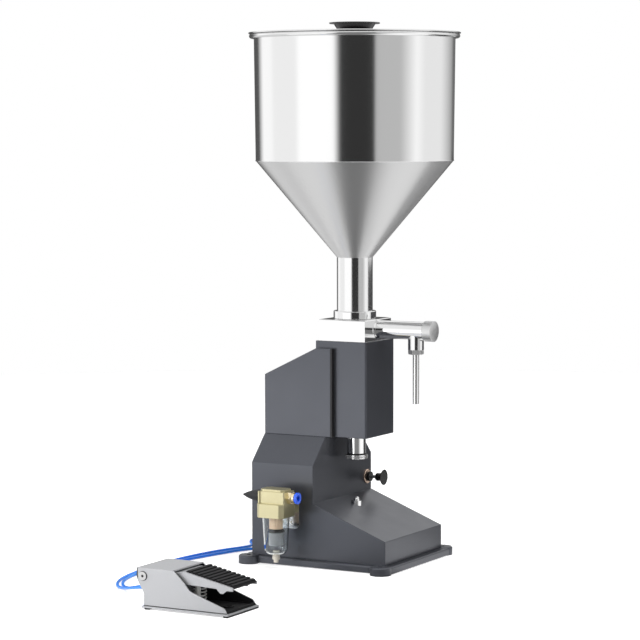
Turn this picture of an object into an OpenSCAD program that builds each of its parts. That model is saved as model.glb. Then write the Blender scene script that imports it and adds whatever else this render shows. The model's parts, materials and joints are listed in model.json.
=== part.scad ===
// Bench-top pneumatic piston filler with hopper, air filter and foot pedal.
// Millimetres, +Z up, nozzle toward -Y. The origin is on the bench, at the centre
// of the four bolt holes in the base.

/* [Base plate] */
// Width of the base plate
plate_w = 180; // [172:1:190]
// Length of the base plate from front to back
plate_l = 224; // [218:1:240]
// How far the bolt holes stand outside the plate's sides
ear_out = 1; // [0:0.5:4]
// How far the bolt holes stand inside the plate's ends
ear_in = 13; // [12:0.5:16]
// Diameter of the bolt holes
bolt_hole_d = 6.6; // [4:0.1:9]
// Radius of the rounded ears
ear_r = 14; // [10:0.5:18]
// Height of the plate's upper face
plate_top = 10; // [8:0.5:14]
// How far the ears stand above the plate
ear_rise = 1; // [0.5:0.5:4]
// Gap between the plate and the bench, where only the ears touch
plate_lift = 1; // [0.5:0.5:2]
// Depth of the hollows under the plate
plate_hollow = 5; // [1:0.5:5]

/* [Lower housing] */
// Border of the plate beside the housing
side_border = 7.5; // [5:0.5:12]
// Border of the plate in front of the housing
front_border = 10.5; // [8:0.5:16]
// Border of the plate behind the housing
rear_border = 13; // [8:0.5:18]
// Depth of the column from front to back
column_l = 93; // [84:1:98]
// Height of the column's flat top
column_top_z = 169.5; // [165:0.5:180]
// Height over which the column's shoulders lean in
shoulder_h = 34.8; // [20:0.1:44]
// Ledge of the column's top beside the cover
column_ledge = 1; // [0:0.5:6]
// Height of the wedge at its front face
wedge_front_z = 42; // [34:0.5:50]
// Height of the wedge where it meets the column
wedge_rear_z = 84.3; // [74:0.1:90]
// Wall of the cast housing
housing_wall = 3; // [2:0.5:5]

/* [Cylinder box] */
// Filling axis, in front of the column
axis_reach = 19; // [16:0.5:22]
// Piston rod axis, in front of the filling axis
rod_forward = 2.5; // [0:0.5:3]
// Width of the box
box_w = 81; // [70:0.5:90]
// Depth of the box
box_l = 76; // [70:0.5:84]
// Wall of the box
box_wall = 3.5; // [2.5:0.5:4.5]
// Thickness of the box's floor
box_floor = 5; // [4:0.5:8]

/* [Rear cover] */
// Reach of the cover beyond the box at each side
cover_reach = 6.5; // [6:0.5:14]
// Front edge of the cover, behind the filling axis
cover_start = 9.5; // [5:0.5:16]
// Length of the cover's flat roof
roof_l = 24.2; // [20:0.1:40]
// Drop from the top of the box to the cover's flat roof
roof_drop = 9.5; // [4:0.5:20]
// Fall of the sloping roof toward the rear
roof_fall = 38; // [20:0.5:60]
// Thickness of the cover's sheet
cover_t = 2; // [1:0.5:3]
// Thickness of the rubber edge
trim_t = 2.5; // [1:0.5:3]
// How far the rubber edge reaches into the gap
trim_depth = 9; // [4:1:14]

/* [Valve block] */
// Ledge of the box beside the block
block_side = 3; // [0:0.5:4]
// Ledge of the box before and behind the block
block_end = 3; // [0:0.5:5]
// Bevel along the block's edges
block_bevel = 1; // [0.5:0.25:2]
// Diameter of the inlet passage
inlet_d = 18; // [15:0.5:20]
// Metal between the chamber and the hopper's socket
seat_web = 5.5; // [4:0.5:8]
// Metal under the discharge tube
outlet_floor = 3.1; // [3:0.1:6]
// Chamber above the discharge axis
chamber_head = 2.8; // [1:0.1:4]

/* [Hopper] */
// Outer radius of the rolled rim
rim_r = 140; // [100:0.5:160]
// Reach of the rim beyond the cylinder
rim_reach = 6.2; // [5.5:0.1:9]
// Radius of the rolled bead
bead_r = 3; // [2:0.1:3]
// Height of the cylinder, up to the middle of the bead
shell_h = 164.6; // [100:0.1:240]
// Draft of the cylinder over its height
shell_draft = 2; // [0:0.1:20]
// Height of the cone
cone_h = 128.6; // [80:0.1:160]
// Height of the outlet tube above the block
neck_h = 81.9; // [40:0.1:120]
// Outer radius of the outlet tube
neck_r = 24; // [22:0.5:26]
// Sheet thickness of the hopper
hopper_t = 1.2; // [0.8:0.1:2]
// Depth of the hopper's socket in the block
socket_depth = 5; // [4:0.5:7]
// Wall of the collar nut
collar_t = 4.5; // [3:0.5:8]
// Height of the collar nut
collar_h = 10.5; // [8:0.5:14]

/* [Lid] */
// Sheet thickness of the lid
lid_t = 1; // [0.8:0.1:1.5]
// Rise of the lid's crown
lid_crown = 5; // [2:0.5:7]
// Width of the lid's flat border
lid_border = 22; // [12:1:40]
// Depth of the ring that locates the lid
lid_lip = 8; // [4:1:14]
// Lower radius of the knob's cup
knob_base_r = 23.3; // [16:0.1:26]
// Flare of the knob's cup
knob_flare = 4.5; // [2:0.1:7]
// Reach of the knob's disc beyond its cup
knob_reach = 6.2; // [4:0.1:9]
// Height of the knob
knob_h = 9.2; // [7:0.2:16]

/* [Discharge] */
// Radius of the discharge tube
outlet_r = 12.1; // [10.5:0.1:13]
// Wall of the discharge tube
outlet_wall = 3.6; // [2.5:0.1:4.5]
// Length of the discharge tube in front of the block
outlet_len = 71; // [60:1:90]
// Rise of the end cap beyond the tube
end_cap_rise = 1.6; // [1:0.1:3]
// Length of the end cap
end_cap_len = 14; // [10:0.5:18]
// Nozzle axis, behind the tube's end
nozzle_inset = 14.5; // [12:0.5:20]
// Step from the tube's radius down to the branch's
branch_step = 1.6; // [0.5:0.1:3]
// Length of the branch below the tube's axis
branch_len = 25.2; // [22:0.1:32]
// Bore radius of the branch
branch_bore_r = 5; // [4.4:0.1:5.5]
// Width of the nozzle nut across its flats
nozzle_nut_af = 18; // [16:0.5:19]
// Height of the nozzle nut
nozzle_nut_h = 6; // [5:0.5:8]
// Outer radius of the nozzle tube
nozzle_r = 4.25; // [3:0.05:4.4]
// Wall of the nozzle tube
nozzle_wall = 1.05; // [0.8:0.05:1.2]
// Length of the nozzle below the branch
nozzle_len = 72; // [40:1:90]

/* [Filling piston] */
// Stroke of the piston
stroke = 40; // [20:1:40]
// Radius of the piston rod
rod_r = 6; // [5.2:0.1:7]
// Step from the rod down to its tail
rod_step = 1; // [0.6:0.1:1.5]
// Wall of the air cylinder
barrel_wall = 6; // [4:0.5:7]
// Step from the air bore down to the dosing bore
bore_step = 5; // [3:0.5:6]
// Thickness of the lower head
low_head_t = 8; // [7:0.5:12]
// Thickness of the gland between the chambers
gland_t = 8; // [6:0.5:12]
// Height of the dosing piston
dose_piston_t = 10; // [9:0.5:14]
// Height of the air piston
air_piston_t = 8; // [6:0.5:12]

/* [Stroke sleeve] */
// Radius of the sleeve under the box
sleeve_r = 12.45; // [11.5:0.05:13]
// Length of the sleeve below the box, with its ring
sleeve_len = 32.2; // [24:0.1:36]
// Height of the adjusting ring
ring_h = 5.4; // [4:0.2:8]
// Radius of the stop bolt in the wedge
stop_r = 6.8; // [5.5:0.1:8]
// Rise of the stop bolt above the wedge
stop_rise = 9.7; // [6:0.1:16]

/* [Air filter] */
// Filter axis, out from the housing's side
filter_reach = 33.5; // [30:0.5:40]
// Filter axis, from the origin toward the rear
filter_y = 43; // [38:0.5:48]
// Height of the drain knob's lower end
drain_low_z = 9; // [4:0.5:11]
// Length of the drain knob
drain_len = 11; // [8:0.5:14]
// Length of the bowl below the head
bowl_len = 50; // [44:0.5:56]
// Height of the head's lower block
head_low_h = 18; // [14:0.5:22]
// Height of the head's upper block
head_up_h = 19; // [17:0.5:24]
// Length of the filter head along its air line
head_l = 40; // [38:0.5:44]
// Width of the upper block
head_up_w = 28; // [24:0.5:32]
// Wall of the lower block round the bowl
head_wall = 1.5; // [1:0.5:3]
// Depth of the air ports' axis below the head's top
port_drop = 11; // [9:0.5:12]
// Radius of the bowl at its top
bowl_r = 18.2; // [15:0.1:19]
// Taper of the bowl's radius down to its rounded bottom
bowl_taper = 2.4; // [1:0.1:3]
// Wall of the bowl
bowl_t = 1.5; // [1:0.1:2]
// Radius of the filter element
element_r = 9; // [7:0.1:9]
// Length of the element below the head
element_len = 16; // [12:0.5:18]
// Height of the quiet-zone cup
cup_h = 17; // [12:0.5:20]
// Radius of the drain knob
drain_r = 4.9; // [4:0.1:6]
// Radius of the inlet coupler's rubber cone
cone_cap_r = 8; // [6.5:0.1:8.8]
// Length of the inlet coupler's rubber cone
cone_cap_len = 29.5; // [20:0.5:34]
// Width of the brass fitting across its flats
brass_af = 15; // [13:0.5:16]
// Bore radius for the air hose
hose_port_r = 4.05; // [3:0.05:4.4]
// Bracket width
bracket_w = 34; // [28:0.5:38]
// Reach of the bracket below the filter head
bracket_drop = 20; // [18:0.5:26]
// Reach of the bracket above the head's lower block
bracket_rise = 10; // [6:0.5:14]

/* [Hand valve] */
// Valve axis, in from the housing's right side
valve_inset = 12.7; // [12.5:0.1:20]
// Valve axis above the wedge
valve_rise = 18.5; // [14:0.1:26]
// Radius of the round ring nut
ring_nut_r = 9.7; // [9:0.1:12]
// Travel of the pull knob
knob_travel = 4; // [2:0.5:5]
// Radius of the flared pull knob
pull_r = 10.8; // [8:0.1:12]
// Length of the pull knob
pull_len = 12; // [11:0.2:18]

/* [Foot pedal] */
// Pedal middle, from the machine's middle
pedal_x = -395; // [-400:1:-390]
// Rear edge of the pedal's roof, from the origin
pedal_rear_y = 56.8; // [50:0.1:60]
// Width over the pedal's side plates
pedal_w = 70; // [60:0.5:84]
// Length of the pedal
pedal_l = 126.5; // [115:0.5:140]
// Length of the pedal's roof
pedal_roof_l = 51; // [51:0.1:60]
// Height of the pedal's roof
pedal_top_z = 50.4; // [46:0.1:58]
// Sheet thickness of the pedal
pedal_t = 2; // [1.5:0.1:2.2]
// Height of the pedal's rubber feet
pedal_foot_h = 2; // [1.5:0.1:2.5]
// Pivot of the treadle, in front of the roof's rear edge
pivot_inset = 8.5; // [7:0.1:9]
// Depth of the pivot below the roof
pivot_drop = 9.9; // [8.6:0.1:10]
// Radius of the pivot pin
pivot_r = 3; // [2.5:0.1:3.2]
// Fall from the roof to the treadle's plate behind its rubber
tread_drop = 1.7; // [1.5:0.1:3]
// Fall of the treadle's plate under the rubber
tread_fall = 13.8; // [8:0.1:16]
// Gap from the roof to the rubber tread
tread_gap = 13.3; // [10:0.1:16]
// Reach of the treadle beyond the side plates
tread_reach = 4.5; // [2:0.5:8]
// Thickness of the rubber tread
pad_t = 2.4; // [1.6:0.1:3]
// Number of ribs on the rubber tread
pad_ribs = 10; // [6:1:14]
// Radius of the return spring, to the middle of its wire
spring_r = 8; // [7:0.5:9]
// Radius of the return spring's wire
spring_wire_r = 0.9; // [0.7:0.1:1.1]
// Middle of the return spring, in front of the rubber's rear end
spring_inset = 3; // [2.5:0.1:12]

/* [Hoses] */
// Outer radius of the air hoses
hose_r = 2; // [1.5:0.1:2.2]
// Gap between neighbouring turns in a coil
coil_gap = 1; // [0.8:0.1:1.4]
// Radius of a coil's innermost turn
coil_in_r = 17; // [16:0.5:18]
// Height of the hose fittings on the machine
port_low_z = 28; // [26:0.5:32]
// Height of the hose fittings on the foot valve
pedal_port_z = 20; // [18:0.5:22]

/* [Hidden] */

// Colours
paint = [0.26, 0.27, 0.30];
steel = [0.80, 0.81, 0.82];
bright_steel = [0.86, 0.87, 0.88];
sheet_steel = [0.78, 0.78, 0.80];
spring_steel = [0.55, 0.56, 0.58];
alloy = [0.72, 0.73, 0.75];
gold_cream = [0.82, 0.78, 0.56];
brass = [0.82, 0.66, 0.36];
copper = [0.72, 0.45, 0.30];
sinter_tan = [0.86, 0.66, 0.48];
drain_grey = [0.82, 0.80, 0.74];
white_plastic = [0.92, 0.92, 0.90];
black = [0.05, 0.05, 0.05];
frosted = [0.85, 0.86, 0.88, 0.6];
clear = [0.86, 0.89, 0.91, 0.45];
fitting_blue = [0.10, 0.32, 0.88];
hose_blue = [0.05, 0.38, 0.92];

// Fits and overruns
run_fit = 0.05;          // radial clearance of a shaft in its bore
seat_gap = 0.3;          // clearance between pieces that don't touch
end_gap = 1;             // air left between the air piston and its heads
top_gap = 4;             // room left above the dosing piston
low_gap = 2.5;           // room left below the dosing piston's stroke
cut = 1;                 // overrun of every cut
$fn = 96;

// Housing, from the plate inward
bolt_dx = plate_w + 2 * ear_out;
bolt_dy = plate_l - 2 * ear_in;
ear_t = plate_top + ear_rise;
housing_w = plate_w - 2 * side_border;
wall_x = -housing_w / 2;
wedge_front_y = front_border - plate_l / 2;
column_rear_y = plate_l / 2 - rear_border;
column_front_y = column_rear_y - column_l;
wedge_l = column_front_y - wedge_front_y;
wedge_rise = wedge_rear_z - wedge_front_z;
shoulder_z = column_top_z - shoulder_h;
axis_y = column_front_y - axis_reach;
rod_y = axis_y - rod_forward;

// Cylinder stack, which sets the height of the box
head_gap = 1;
air_h = stroke + air_piston_t + 2 * end_gap;
dose_h = stroke + dose_piston_t + top_gap + low_gap;
air_low_z = column_top_z + box_floor + low_head_t;
gland_z = air_low_z + air_h;
dose_low_z = gland_z + gland_t;
block_z = dose_low_z + dose_h;
box_h = block_z - column_top_z;
air_piston_z = gland_z - end_gap - air_piston_t;
dose_piston_z = block_z - top_gap - dose_piston_t;
head_r = min(box_w / 2, box_l / 2 - rod_forward) - box_wall - head_gap;
air_r = head_r - barrel_wall;
dose_r = air_r - bore_step;
tail_r = rod_r - rod_step;

// Cover on the column, round the box
cover_w = box_w + 2 * cover_reach;
column_top_w = cover_w + 2 * column_ledge;
cover_front_y = axis_y + cover_start;
cover_bend_y = cover_front_y + roof_l;
cover_top_z = block_z - roof_drop;
cover_rear_z = cover_top_z - roof_fall;

// Valve block and hopper, from the box up
block_w = box_w - 2 * block_side;
block_l = box_l - 2 * block_end;
block_front_y = axis_y - block_l / 2;
outlet_rise = outlet_floor + outlet_r;
outlet_z = block_z + outlet_rise;
chamber_h = outlet_rise + chamber_head;
block_h = chamber_h + seat_web + socket_depth;
block_top_z = block_z + block_h;
cone_low_z = block_top_z + neck_h;
cone_top_z = cone_low_z + cone_h;
bead_z = cone_top_z + shell_h;
hopper_top_r = rim_r - rim_reach;
hopper_low_r = hopper_top_r - shell_draft;
outlet_end_y = block_front_y - outlet_len;
nozzle_y = outlet_end_y + nozzle_inset;
branch_z = outlet_z - branch_len;
nozzle_nut_z = branch_z - nozzle_nut_h;
nozzle_tip_z = branch_z - nozzle_len;

// Wedge surface height at a distance from the origin
function wedge_z(y) = wedge_front_z + wedge_rise * (y - wedge_front_y) / wedge_l;

// A slab with its upper edges bevelled, standing on its own ground
module bevelled_slab(w, l, t, b) {
  intersection() {
    translate([0, l / 2, 0])
      rotate([90, 0, 0])
        linear_extrude(l)
          slab_profile(w, t, b);
    translate([-w / 2, 0, 0])
      rotate([90, 0, 90])
        linear_extrude(w)
          slab_profile(l, t, b);
  }
}

module slab_profile(w, t, b) {
  polygon([[-w / 2, 0], [w / 2, 0], [w / 2, t - b], [w / 2 - b, t],
    [b - w / 2, t], [-w / 2, t - b]]);
}

// A flat shape with round corners
module round_rect(w, l, r) {
  square([w - 2 * r, l], center = true);
  square([w, l - 2 * r], center = true);
  for (i = [-1, 1])
    for (j = [-1, 1])
      translate([i * (w / 2 - r), j * (l / 2 - r)])
        circle(r);
}

// A ring along +Z
module ring(r_out, r_in, h) {
  difference() {
    cylinder(r = r_out, h = h);
    translate([0, 0, -cut])
      cylinder(r = r_in, h = h + 2 * cut);
  }
}

// Points its content along -Y, from the given place
module toward_front(x, y, z) {
  translate([x, y, z])
    rotate([90, 0, 0])
      children();
}

// Points its content along +Y, from the given place
module toward_rear(x, y, z) {
  translate([x, y, z])
    rotate([-90, 0, 0])
      children();
}

// BASE

plate_bevel = 1.5;
plate_rib = 14;
module base_plate() {
  color(paint)
    difference() {
      union() {
        translate([0, 0, plate_lift])
          bevelled_slab(plate_w, plate_l, plate_top - plate_lift, plate_bevel);
        for (i = [-1, 1])
          for (j = [-1, 1])
            translate([i * bolt_dx / 2, j * bolt_dy / 2, 0])
              rotate_extrude()
                polygon([[0, 0], [ear_r, 0], [ear_r, ear_t - plate_bevel],
                  [ear_r - plate_bevel, ear_t], [0, ear_t]]);
      }
      for (i = [-1, 1])
        for (j = [-1, 1])
          translate([i * bolt_dx / 2, j * bolt_dy / 2, -cut])
            cylinder(d = bolt_hole_d, h = ear_t + 2 * cut);
      for (j = [-1, 1])
        translate([0, j * plate_l / 4, plate_lift - cut + (plate_hollow + cut) / 2])
          cube([plate_w - 4 * plate_rib, plate_l / 2 - 2 * plate_rib, plate_hollow + cut],
            center = true);
      base_seat();
    }
}

// The housing's foot, cut out of the ears where they pass above the plate
module base_seat() {
  translate([-housing_w / 2 - seat_gap, wedge_front_y - seat_gap, plate_top])
    cube([housing_w + 2 * seat_gap, column_rear_y - wedge_front_y + 2 * seat_gap, ear_t + cut]);
}

// LOWER HOUSING

module column_profile(inset) {
  half = housing_w / 2 - inset;
  top = column_top_w / 2 - inset;
  polygon([[-half, plate_top - (inset > 0 ? cut : 0)], [half, plate_top - (inset > 0 ? cut : 0)],
    [half, shoulder_z], [top, column_top_z - inset], [-top, column_top_z - inset],
    [-half, shoulder_z]]);
}

module wedge_profile(inset) {
  low = plate_top - (inset > 0 ? cut : 0);
  polygon([[wedge_front_y + inset, low], [column_rear_y - inset, low],
    [column_rear_y - inset, wedge_rear_z - inset], [column_front_y, wedge_rear_z - inset],
    [wedge_front_y + inset, wedge_z(wedge_front_y + inset) - inset]]);
}

module housing_body(inset) {
  translate([0, column_rear_y - inset, 0])
    rotate([90, 0, 0])
      linear_extrude(column_rear_y - column_front_y - 2 * inset)
        column_profile(inset);
  translate([inset - housing_w / 2, 0, 0])
    rotate([90, 0, 90])
      linear_extrude(housing_w - 2 * inset)
        wedge_profile(inset);
}

stop_boss_r = stop_r + housing_wall;
stop_boss_len = 13.8;
stop_boss_z = wedge_z(rod_y) - stop_boss_len;

module lower_housing() {
  color(paint)
    difference() {
      union() {
        difference() {
          housing_body(0);
          housing_body(housing_wall);
        }
        translate([0, rod_y, stop_boss_z])
          cylinder(r = stop_boss_r, h = wedge_z(rod_y - stop_boss_r) - stop_boss_z);
      }
      translate([0, rod_y, stop_boss_z - cut])
        cylinder(r = stop_r + run_fit, h = wedge_rear_z);
      toward_front(valve_x, column_front_y + housing_wall + cut, valve_z)
        cylinder(r = valve_nose_r + run_fit, h = housing_wall + 2 * cut);
      for (x = hose_port_xs)
        toward_rear(x, column_rear_y - housing_wall - cut, port_low_z)
          cylinder(r = port_thread_r + run_fit, h = housing_wall + 2 * cut);
      for (p = bracket_holes)
        translate([wall_x - cut, p[0], p[1]])
          rotate([0, 90, 0])
            cylinder(r = small_screw_r + run_fit, h = housing_wall + 2 * cut);
    }
}

// CYLINDER BOX

box_corner_r = 2;

module cylinder_box() {
  color(paint)
    difference() {
      translate([0, axis_y, column_top_z])
        linear_extrude(box_h)
          round_rect(box_w, box_l, box_corner_r);
      translate([0, axis_y, column_top_z + box_floor + (box_h + cut) / 2])
        cube([box_w - 2 * box_wall, box_l - 2 * box_wall, box_h + cut], center = true);
      translate([0, rod_y, column_top_z - cut])
        cylinder(r = sleeve_r + run_fit, h = box_floor + 2 * cut);
      for (i = [-1, 1])
        translate([i * cap_screw_pitch, rod_y, column_top_z - cut])
          cylinder(r = small_screw_r + run_fit, h = box_floor + 2 * cut);
    }
}

// REAR COVER

module cover_profile(inset) {
  front = cover_front_y + trim_t - (inset > 0 ? cut : 0);
  low = column_top_z - (inset > 0 ? cut : 0);
  polygon([[front, low], [column_rear_y - inset, low], [column_rear_y - inset, cover_rear_z - inset],
    [cover_bend_y, cover_top_z - inset], [front, cover_top_z - inset]]);
}

module rear_cover() {
  color(paint)
    difference() {
      translate([-cover_w / 2, 0, 0])
        rotate([90, 0, 90])
          linear_extrude(cover_w)
            cover_profile(0);
      translate([cover_t - cover_w / 2, 0, 0])
        rotate([90, 0, 90])
          linear_extrude(cover_w - 2 * cover_t)
            cover_profile(cover_t);
      // the roof is notched round the box
      translate([-box_w / 2 - seat_gap, cover_front_y - cut, column_top_z])
        cube([box_w + 2 * seat_gap, axis_y + box_l / 2 + seat_gap - cover_front_y + cut,
          box_h]);
    }
}

// Rubber edge between the cover's cheeks and the box
module cover_trim() {
  color(black)
    for (i = [-1, 1])
      scale([i, 1, 1]) {
        translate([box_w / 2, cover_front_y, column_top_z])
          cube([cover_reach, trim_t, cover_top_z - column_top_z]);
        translate([box_w / 2, cover_front_y, column_top_z])
          cube([cover_reach - cover_t - run_fit, trim_depth,
            cover_top_z - column_top_z - cover_t - run_fit]);
      }
}

// VALVE BLOCK

inlet_seat_z = block_z + chamber_h;
disc_land = 3;
chamber_gap = 3;
inlet_disc_r = inlet_d / 2 + disc_land;
chamber_r = inlet_disc_r + chamber_gap;
outlet_bore_r = outlet_r - outlet_wall;
outlet_land = 2;
outlet_seat_r = outlet_bore_r - outlet_land;

module valve_block() {
  color(bright_steel)
    difference() {
      translate([0, axis_y, block_z])
        bevelled_slab(block_w, block_l, block_h, block_bevel);
      translate([0, rod_y, block_z - cut])
        cylinder(r = chamber_r, h = chamber_h + cut);
      translate([0, rod_y, block_z])
        cylinder(d = inlet_d, h = block_h);
      translate([0, axis_y, block_top_z - socket_depth])
        cylinder(r = neck_r + run_fit, h = block_h);
      toward_front(0, rod_y, outlet_z)
        cylinder(r = outlet_seat_r, h = block_l);
    }
}

// HOPPER

gasket_t = 1.5;
neck_foot_z = block_top_z - socket_depth + gasket_t;

// Cylinder with its rolled rim
module hopper() {
  color(steel)
    translate([0, axis_y, 0])
      rotate_extrude() {
        hopper_sheet(hopper_low_r, cone_top_z, hopper_top_r, bead_z + bead_r);
        difference() {
          translate([rim_r - bead_r, bead_z])
            circle(bead_r);
          translate([rim_r - bead_r, bead_z])
            circle(bead_r - hopper_t);
        }
        // lip that carries the sheet out to the rolled bead
        translate([hopper_top_r - hopper_t, bead_z + bead_r - hopper_t])
          square([rim_reach - bead_r + hopper_t, hopper_t]);
      }
}

module hopper_cone() {
  color(steel)
    translate([0, axis_y, 0])
      rotate_extrude()
        hopper_sheet(neck_r, cone_low_z, hopper_low_r, cone_top_z);
}

module hopper_neck() {
  color(steel)
    translate([0, axis_y, 0])
      rotate_extrude()
        hopper_sheet(neck_r, neck_foot_z, neck_r, cone_low_z);
}

// Section of a sheet between two heights
module hopper_sheet(r_low, z_low, r_top, z_top) {
  polygon([[r_low - hopper_t, z_low], [r_low, z_low], [r_top, z_top], [r_top - hopper_t, z_top]]);
}

module hopper_gasket() {
  color(white_plastic)
    translate([0, axis_y, block_top_z - socket_depth])
      ring(neck_r - run_fit, neck_r - 2 * hopper_t - gasket_t, gasket_t);
}

collar_bevel = 0.8;
collar_r = neck_r + collar_t;

module collar_nut() {
  color(bright_steel)
    translate([0, axis_y, block_top_z])
      rotate_extrude()
        polygon([[neck_r + run_fit, 0], [collar_r - collar_bevel, 0], [collar_r, collar_bevel],
          [collar_r, collar_h - collar_bevel], [collar_r - collar_bevel, collar_h],
          [neck_r + run_fit, collar_h]]);
}

// LID

lid_r = rim_r;
lid_z = bead_z + bead_r;
lid_lip_r = hopper_top_r - hopper_t - seat_gap - lid_t;
crown_r = lid_r - lid_border;
lid_hem_r = 0.95;

module hopper_lid() {
  color(steel)
    translate([0, axis_y, lid_z])
      rotate_extrude() {
        polygon([[0, lid_crown], [knob_base_r, lid_crown], [crown_r, 0],
          [lid_r, 0], [lid_r, lid_t], [crown_r, lid_t], [knob_base_r, lid_crown + lid_t],
          [0, lid_crown + lid_t]]);
        translate([lid_lip_r - lid_t, -lid_lip])
          square([lid_t, lid_lip + lid_t]);
        // rolled hem
        translate([lid_r, lid_hem_r])
          circle(lid_hem_r);
      }
}

knob_disc_t = 2;
knob_z = lid_z + lid_crown + lid_t;
knob_cup_r = knob_base_r + knob_flare;
knob_r = knob_cup_r + knob_reach;

module lid_knob() {
  color(black)
    translate([0, axis_y, knob_z])
      rotate_extrude()
        polygon([[0, 0], [knob_base_r, 0], [knob_cup_r, knob_h - knob_disc_t],
          [knob_r - knob_disc_t / 2, knob_h - knob_disc_t],
          [knob_r, knob_h - knob_disc_t / 2], [knob_r - knob_disc_t / 2, knob_h],
          [knob_cup_r, knob_h - knob_disc_t / 4], [0, knob_h - knob_disc_t / 4]]);
}

// DISCHARGE

weld_rise = 1.2;
weld_t = 2;
end_cap_dome = 1.6;
cap_spigot_len = 6;
weld_r = outlet_r + weld_rise;
end_cap_r = outlet_r + end_cap_rise;
branch_r = outlet_r - branch_step;

module outlet_tube() {
  color(bright_steel)
    difference() {
      union() {
        toward_front(0, block_front_y, outlet_z)
          cylinder(r = outlet_r, h = outlet_len);
        toward_front(0, block_front_y, outlet_z)
          cylinder(r1 = weld_r, r2 = outlet_r, h = weld_t);
        translate([0, nozzle_y, branch_z])
          cylinder(r = branch_r, h = outlet_z - branch_z);
      }
      toward_front(0, block_front_y + cut, outlet_z)
        cylinder(r = outlet_bore_r, h = outlet_len + 2 * cut);
      translate([0, nozzle_y, branch_z - cut])
        cylinder(r = branch_bore_r, h = outlet_z - branch_z + cut);
    }
}

module outlet_cap() {
  dome_r = (end_cap_r * end_cap_r + end_cap_dome * end_cap_dome) / (2 * end_cap_dome);
  color(steel)
    toward_front(0, outlet_end_y, outlet_z) {
      intersection() {
        cylinder(r = end_cap_r, h = end_cap_len);
        translate([0, 0, end_cap_len - dome_r])
          sphere(dome_r);
      }
      translate([0, 0, -cap_spigot_len])
        cylinder(r = outlet_bore_r - run_fit, h = cap_spigot_len);
    }
}

poppet_len = 9;
poppet_stem_r = 2.4;
poppet_lift = 4;
poppet_flutes = 3;
poppet_flute_r = 2.6;
poppet_y = block_front_y - run_fit;
spring_room_y = outlet_end_y + cap_spigot_len;

module outlet_poppet() {
  color(white_plastic)
    toward_front(0, poppet_y, outlet_z)
      difference() {
        union() {
          cylinder(r = outlet_bore_r - run_fit, h = poppet_len);
          cylinder(r = poppet_stem_r, h = poppet_y - spring_room_y - poppet_lift - end_gap);
        }
        for (k = [0:poppet_flutes - 1])
          rotate([0, 0, k * 360 / poppet_flutes])
            translate([outlet_bore_r, 0, -cut])
              cylinder(r = poppet_flute_r, h = poppet_len + 2 * cut);
      }
}

outlet_spring_r = 4.6;
outlet_wire_r = 0.6;

module outlet_spring() {
  from = poppet_len + run_fit;
  to = poppet_y - spring_room_y - run_fit;
  color(steel)
    toward_front(0, poppet_y, outlet_z)
      spring(outlet_spring_r, outlet_wire_r, from + outlet_wire_r, to - outlet_wire_r,
        spring_turns);
}

nozzle_bore_r = nozzle_r - nozzle_wall;
spigot_step = 0.35;
spigot_r = nozzle_r - spigot_step;
ferrule_r = branch_bore_r - run_fit;
ferrule_h = 4;
nut_chamfer_shares = [1.08, 1.4];

module nozzle_nut() {
  color(steel)
    translate([0, nozzle_y, nozzle_nut_z])
      difference() {
        intersection() {
          cylinder(r = nozzle_nut_af / sqrt(3), h = nozzle_nut_h, $fn = 6);
          cylinder(d1 = nozzle_nut_af * nut_chamfer_shares[0],
            d2 = nozzle_nut_af * nut_chamfer_shares[1], h = nozzle_nut_h);
        }
        translate([0, 0, -cut])
          cylinder(r = spigot_r + run_fit, h = nozzle_nut_h + 2 * cut);
      }
}

// Tube with a spigot through the nut and a ferrule in the branch
module nozzle_tube() {
  color(steel)
    translate([0, nozzle_y, 0])
      difference() {
        union() {
          translate([0, 0, nozzle_tip_z])
            cylinder(r = nozzle_r, h = nozzle_nut_z - nozzle_tip_z);
          translate([0, 0, nozzle_nut_z])
            cylinder(r = spigot_r, h = nozzle_nut_h);
          translate([0, 0, branch_z])
            cylinder(r = ferrule_r, h = ferrule_h);
        }
        translate([0, 0, nozzle_tip_z - cut])
          cylinder(r = nozzle_bore_r, h = branch_z + ferrule_h - nozzle_tip_z + 2 * cut);
      }
}

// INLET VALVE

inlet_lift = 4;
inlet_disc_t = 3;
inlet_fin_t = 2.4;
inlet_fins = 3;
inlet_toe_reach = 2.5;
inlet_toe_h = 1.5;
socket_floor_z = block_top_z - socket_depth;

// A winged disc that hangs open on its toes and is pushed shut against its seat
module inlet_poppet() {
  disc_top = inlet_seat_z - inlet_lift - run_fit;
  color(white_plastic)
    translate([0, rod_y, disc_top]) {
      translate([0, 0, -inlet_disc_t])
        cylinder(r = inlet_disc_r, h = inlet_disc_t);
      intersection() {
        cylinder(d = inlet_d - 2 * run_fit, h = socket_floor_z - disc_top + run_fit);
        inlet_fins(inlet_d / 2, socket_floor_z - disc_top + run_fit);
      }
      translate([0, 0, socket_floor_z - disc_top + run_fit])
        inlet_fins(inlet_d / 2 + inlet_toe_reach, inlet_toe_h);
    }
}

module inlet_fins(r, h) {
  for (k = [0:inlet_fins - 1])
    rotate([0, 0, k * 180 / inlet_fins])
      translate([-r, -inlet_fin_t / 2, 0])
        cube([2 * r, inlet_fin_t, h]);
}

// DOSING AND AIR CYLINDERS

dose_wall = 5;
dose_flange_t = 4;
seal_r = 1.2;

module dosing_cylinder() {
  color(steel)
    translate([0, rod_y, 0])
      difference() {
        union() {
          translate([0, 0, dose_low_z])
            cylinder(r = dose_r + dose_wall, h = block_z - dose_low_z);
          translate([0, 0, block_z - dose_flange_t])
            cylinder(r = head_r, h = dose_flange_t);
        }
        translate([0, 0, dose_low_z - cut])
          cylinder(r = dose_r, h = block_z - dose_low_z + 2 * cut);
      }
}

stud_step = 1;
stud_r = tail_r - stud_step;
stud_len = 7;

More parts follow.
